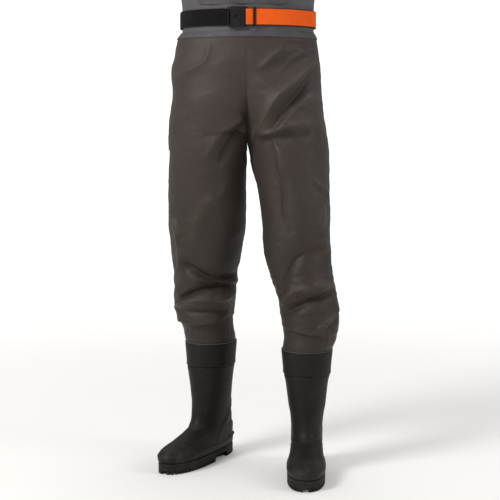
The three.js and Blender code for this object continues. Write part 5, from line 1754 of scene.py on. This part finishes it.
@dataclass
class Belt:
    """The wading belt's webbing: the black length round the body and the orange tail over its front."""

    wardrobe: Wardrobe
    width: float = 40.0
    thick: float = 1.6
    stand_off: float = 2.4
    join: float = -10.0

    def band(self, start: float, end: float, off: float, width: float, stations: int) -> Array:
        """A length of webbing round the body: a rounded bar carried along the outline at the belt's height.

        Args:
            start: first angle in degrees.
            end: last angle.
            off: distance of the webbing's middle outside the fabric, millimetres.
            width: of the webbing.
            stations: how many sections.

        Returns:
            Rows of a closed tube, in millimetres.
        """
        angle = np.linspace(start, end, stations)
        path = torso(angle, np.full(stations, BELT_Z), off)
        tangent = unit(np.gradient(path, axis=0))
        out = np.stack([tangent[:, 1], -tangent[:, 0], tangent[:, 2] * 0], -1)
        up = np.tile([0.0, 0.0, 1.0], (stations, 1))
        return sweep(path, up, out, rounded_bar(width, self.thick, 0.7))

    def piece(self, name: str, rows: Array, finish: str, *nodes: str) -> bpy.types.Object:
        """A webbing tube as a dressed piece whose UV runs across its width and along its length."""
        patch = Patchwork()
        uv = webbing_uv(rows)
        patch.grid(frame_point(capped(rows)), wrapped=True, uv=uv)
        made = patch.object(name, 40)
        return self.wardrobe.paint(made, finish, *nodes)

    def build(self) -> None:
        """Makes the back length, the front length, the tail and its folded end."""
        off = self.stand_off + self.thick / 2
        socket = torso_angle(-54.35, BELT_Z, -1)
        plug = torso_angle(-4.94, BELT_Z, -1)
        back = self.piece(
            "belt_length_back", self.band(self.join + 0.1, 360 + socket, off, self.width, 260),
            "black_webbing",
            "belt_webbing_back",
        )
        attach(back, "garment")
        front = self.piece(
            "belt_length_front", self.band(plug, self.join, off, self.width, 90), "black_webbing",
            "belt_webbing_left"
        )
        tail = self.piece(
            "belt_tail", self.band(plug, self.join + 20, off + self.thick + 0.3, self.width - 2.4, 110),
            "orange_webbing",
            "belt_webbing_tail",
        )
        edges = [front, tail]
        for sign in (-1, 1):
            rows = self.band(plug, self.join + 20, off + self.thick + 0.3, 1.6, 110)
            rows = rows + np.array([0, 0, sign * (self.width / 2 - 0.6)])
            edges.append(
                self.piece(f"belt_tail_edge_{'lower' if sign < 0 else 'upper'}", rows, "black_webbing_edge")
            )
        start = frame_point(torso(self.join + 8, BELT_Z))
        end = frame_point(torso(plug + 22, BELT_Z))
        for made in edges:
            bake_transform(made)
        self.wraps(socket, plug)

    def wraps(self, socket: float, plug: float) -> None:
        """The webbing's turns round the buckle's two bars: a strip that goes over the bar and back."""
        for name, at, sign, body, finish in (
            ("socket", socket, -1, "garment", "black_webbing"),
            ("plug", plug, 1, "belt_front", "orange_webbing"),
        ):
            base = torso(at, BELT_Z, 0.0)
            ahead = torso(at + 2, BELT_Z, 0.0)
            along = unit(ahead - base) * sign
            out = np.array([along[1], -along[0], 0.0]) * sign
            loop = np.array(
                [
                    [14, 5.9], [9, 6.5], [3, 7.6], [-2.5, 8.2], [-5.2, 6.6], [-5.6, 4.2], [-4.0, 2.0],
                    [2, 2.6], [8, 3.2]
                ]
            )
            path2 = catmull(loop, 6)
            path = base + path2[:, :1] * along + (path2[:, 1:] - 0.9) * out
            tangent = unit(np.gradient(path, axis=0))
            up = np.tile([0.0, 0.0, 1.0], (len(path), 1))
            rows = sweep(path, up, np.cross(tangent, up), rounded_bar(self.width - 3.0, 1.3, 0.6))
            made = self.piece(f"belt_turn_{name}", rows, finish)
            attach(made, body)


def webbing_uv(rows: Array) -> Array:
    """A webbing tube's UV in metres: u from its lower edge across, v along it, for the capped grid."""
    centre = rows.mean(1)
    along = np.concatenate([[0], np.cumsum(np.linalg.norm(np.diff(centre, axis=0), axis=1))]) * MM
    along = np.concatenate([along[:1], along, along[-1:]])
    span = rows[0] - rows[0].mean(0)
    axis = span[np.argmax(np.linalg.norm(span, axis=1))]
    across = span @ unit(axis) * MM
    across = across - across.min()
    across = np.concatenate([across, across[:1]])
    return np.stack(np.meshgrid(across, along), -1)


@dataclass
class Braces:
    """The elastic braces with their front anchors."""

    wardrobe: Wardrobe
    width: float = 36.0
    thick: float = 2.0
    base: float = 1428.0
    face_y: float = -134.233
    plug_top: float = 1476.5
    shoulder: float = 1562.0

    def build(self) -> None:
        """Makes each side's strap and anchor."""
        for side in Side:
            self.strap(side)
            self.anchor(side)

    def strap(self, side: Side) -> None:
        """One brace from its buckle over the shoulder to the back plate: a rounded bar on a smooth path.

        Its face is turned away from the shoulders, as the cross product of the path's direction with
        the way across.
        """
        x = CENTRE_X + 1 + side.value * 92
        start = np.array([x, self.face_y - 3.0, self.plug_top + 0.8])
        slope = np.array([0, 0.42, 0.907])
        back = float(torso(90.0, BIB_BACK)[1]) + 0.8 + 0.8 + 0.3 + self.thick / 2
        patch_top = BIB_BACK - 14 - 3
        points = np.array(
            [
                start, start + slope * 20, start + slope * 42, start + slope * 62,
                [x * 0.97, -62, self.shoulder - 15], [x * 0.94, -10, self.shoulder],
                [x * 0.88, 48, self.shoulder - 12],
                [x * 0.76, 96, self.shoulder - 58], [x * 0.52, back - 6, self.shoulder - 120],
                [x * 0.31, back, BIB_BACK + 40], [x * 0.3, back, BIB_BACK + 10],
                [x * 0.3, back, patch_top + 0.6],
            ]
        )
        path = catmull(points, 14)
        tangent = unit(np.gradient(path, axis=0))
        away = path - np.array([0, 5, self.shoulder - 130]) * np.array([0, 1, 1])
        away[:, 0] = 0
        across = unit(np.cross(away, tangent))
        out = np.cross(tangent, across)
        out = out * np.sign(np.einsum("ij,ij->i", out, away))[:, None]
        rows = sweep(path, across, out, rounded_bar(self.width, self.thick, 0.8))
        patch = Patchwork()
        patch.grid(frame_point(capped(rows)), wrapped=True, uv=webbing_uv(rows))
        made = patch.object(f"brace_elastic_{side.word}", 40)
        self.wardrobe.paint(made, "elastic_webbing", f"brace_strap_{side.word}")
        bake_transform(made)

    def anchor(self, side: Side) -> None:
        """The webbing tab that holds the buckle: a bar that follows the bib's front."""
        x = CENTRE_X + 1 + side.value * 92
        z = np.linspace(self.base - 62, self.base - 0.5, 40)
        centre = torso_angle(x, self.base - 30, -1)
        path = torso(np.full(40, centre), z, 2.2 + 1.1)
        angle = math.radians(centre)
        tangent = unit(np.gradient(path, axis=0))
        across = np.tile(unit(np.array([-math.sin(angle) * 1.0, math.cos(angle) * 0.74, 0])), (40, 1))
        out = np.cross(across, tangent)
        profile = rounded_bar(self.width, 1.6, 0.7)
        bend = profile.copy()
        bend[:, 1] = bend[:, 1] - 0.0014 * bend[:, 0] ** 2
        rows = sweep(path, across, out, bend)
        patch = Patchwork()
        patch.grid(frame_point(capped(rows)), wrapped=True, uv=webbing_uv(rows))
        made = patch.object(f"brace_anchor_tab_{side.word}", 40)
        self.wardrobe.dress(made, "black_webbing", "garment", f"brace_anchor_{side.word}")


# ------------------------------------------------------------------ studio


@dataclass
class Studio:
    """The floor, backdrop, lights and camera."""

    camera_at: tuple[float, float, float] = (0.0, -3300.0, 840.0)  # millimetres of the wearer's stance
    pitch: float = 5.21  # degrees down
    lens: float = 94.4
    floor_colour: Color = (0.80, 0.79, 0.77)
    near_glow: float = 0.12  # added to what the camera sees of the floor near the boots
    far_glow: float = 0.85  # and of the wall

    def build(self) -> None:
        """Makes the studio."""
        self.backdrop()
        self.lights()
        self.camera()

    def backdrop(self) -> None:
        """A pale floor that curves up into a wall: a flat, a quarter turn and a wall, spun about Z."""
        turn = np.linspace(0, math.pi / 2, 24)
        reach, bend = 14.0, 5.0
        profile = np.concatenate(
            [
                np.linspace([0.0, 0.0], [reach - bend, 0.0], 8),
                np.stack([reach - bend + bend * np.sin(turn), bend - bend * np.cos(turn)], -1),
                [[reach, 9.0]],
            ]
        )
        angle = np.linspace(0, TURN, 97)[:-1]
        grid = np.stack(
            [
                profile[:, :1] * np.cos(angle),
                profile[:, :1] * np.sin(angle),
                np.repeat(profile[:, 1:], len(angle), 1) - 0.0005,
            ],
            -1,
        )
        patch = Patchwork()
        patch.grid(grid, wrapped=True)
        floor = patch.object("studio_floor", 90)
        made = bpy.data.materials.new("pale_floor")
        made.use_nodes = True
        shader = made.node_tree.nodes["Principled BSDF"]
        graph = Graph(made.node_tree)
        noise = graph.add("TexNoise", Vector=graph.add("TexCoord").outputs["Object"], Scale=3.0, Detail=3.0)
        lighter = tuple(c + 0.015 for c in self.floor_colour)
        graph.feed(shader, "Base Color", graph.mix(noise.outputs[0], self.floor_colour, lighter))
        shader.inputs["Roughness"].default_value = 0.9
        shader.inputs["Emission Color"].default_value = (1.0, 0.995, 0.985, 1.0)
        seen = graph.add("LightPath").outputs["Is Camera Ray"]
        distance = graph.add("VectorMath", operation="LENGTH")
        graph.feed(distance, 0, graph.add("TexCoord").outputs["Object"])
        glow = graph.between(distance.outputs["Value"], 0.4, 5.0, self.near_glow, self.far_glow)
        graph.feed(shader, "Emission Strength", graph.math("MULTIPLY", seen, glow))
        floor.data.materials.append(made)

    def lights(self) -> None:
        """A large soft key from above and the front, a fill, a top light and a pale world."""
        rows = (
            ("key", (-2.3, -2.0, 2.9), (0.0, 0.0, 0.7), 1.3, 96.0, (1.0, 0.985, 0.96)),
            ("fill", (2.9, -1.2, 1.9), (0.0, 0.0, 0.7), 1.6, 26.0, (1.0, 0.98, 0.95)),
            ("top", (0.2, 0.9, 3.4), (0.0, 0.0, 0.6), 2.2, 34.0, (1.0, 1.0, 1.0)),
        )
        for name, at, target, size, power, colour in rows:
            data = bpy.data.lights.new(name, "AREA")
            data.shape, data.size, data.energy, data.color = "DISK", size, power, colour
            lamp = bpy.data.objects.new(name, data)
            bpy.context.scene.collection.objects.link(lamp)
            lamp.location = at
            direction = Vector(target) - Vector(at)
            lamp.rotation_euler = direction.to_track_quat("-Z", "Y").to_euler()
        world = bpy.data.worlds.new("pale_world")
        world.use_nodes = True
        back = world.node_tree.nodes["Background"]
        back.inputs[0].default_value = (0.98, 0.985, 1.0, 1)
        back.inputs[1].default_value = 0.42
        bpy.context.scene.world = world

    def camera(self) -> None:
        """The camera at the stance's front, a little over the waist, looking slightly down."""
        data = bpy.data.cameras.new("camera")
        data.lens, data.sensor_width = self.lens, 36.0
        made = bpy.data.objects.new("camera", data)
        made.location = tuple(frame_point(self.camera_at))
        made.rotation_euler = (math.radians(90 - self.pitch), 0, 0)
        bpy.context.scene.collection.objects.link(made)
        bpy.context.scene.camera = made
        bpy.context.scene.view_settings.view_transform = "Standard"
        bpy.context.scene.view_settings.look = "None"


def main() -> None:
    """Builds the studio and every sub-assembly in order."""
    logging.basicConfig(level=logging.INFO, format="%(name)s: %(message)s")
    Studio().build()
    wardrobe = Wardrobe()
    right_foot, left_foot = (-100.0, 35.0, -31.0), (141.0, -96.0, -3.0)
    Bib(wardrobe).build()
    right_hem = (
        (-185, 357), (-130, 360), (-88, 355), (-50, 362), (-10, 376), (40, 370), (90, 361), (135, 358)
    )
    left_hem = ((-178, 361), (-124, 359), (-96, 351), (-28, 346), (20, 352), (90, 352), (150, 360))
    Leg(wardrobe, Side.RIGHT, RIGHT_LEG, right_foot, RIGHT_FOLDS, LEFT_LEG, hem=right_hem).build()
    Leg(wardrobe, Side.LEFT, LEFT_LEG, left_foot, LEFT_FOLDS, RIGHT_LEG, hem=left_hem).build()
    Boot(wardrobe, Side.RIGHT, right_foot).build()
    Boot(wardrobe, Side.LEFT, left_foot).build()
    Belt(wardrobe).build()
    Braces(wardrobe).build()
    Hardware(wardrobe).build()


if __name__ == "__main__":
    main()
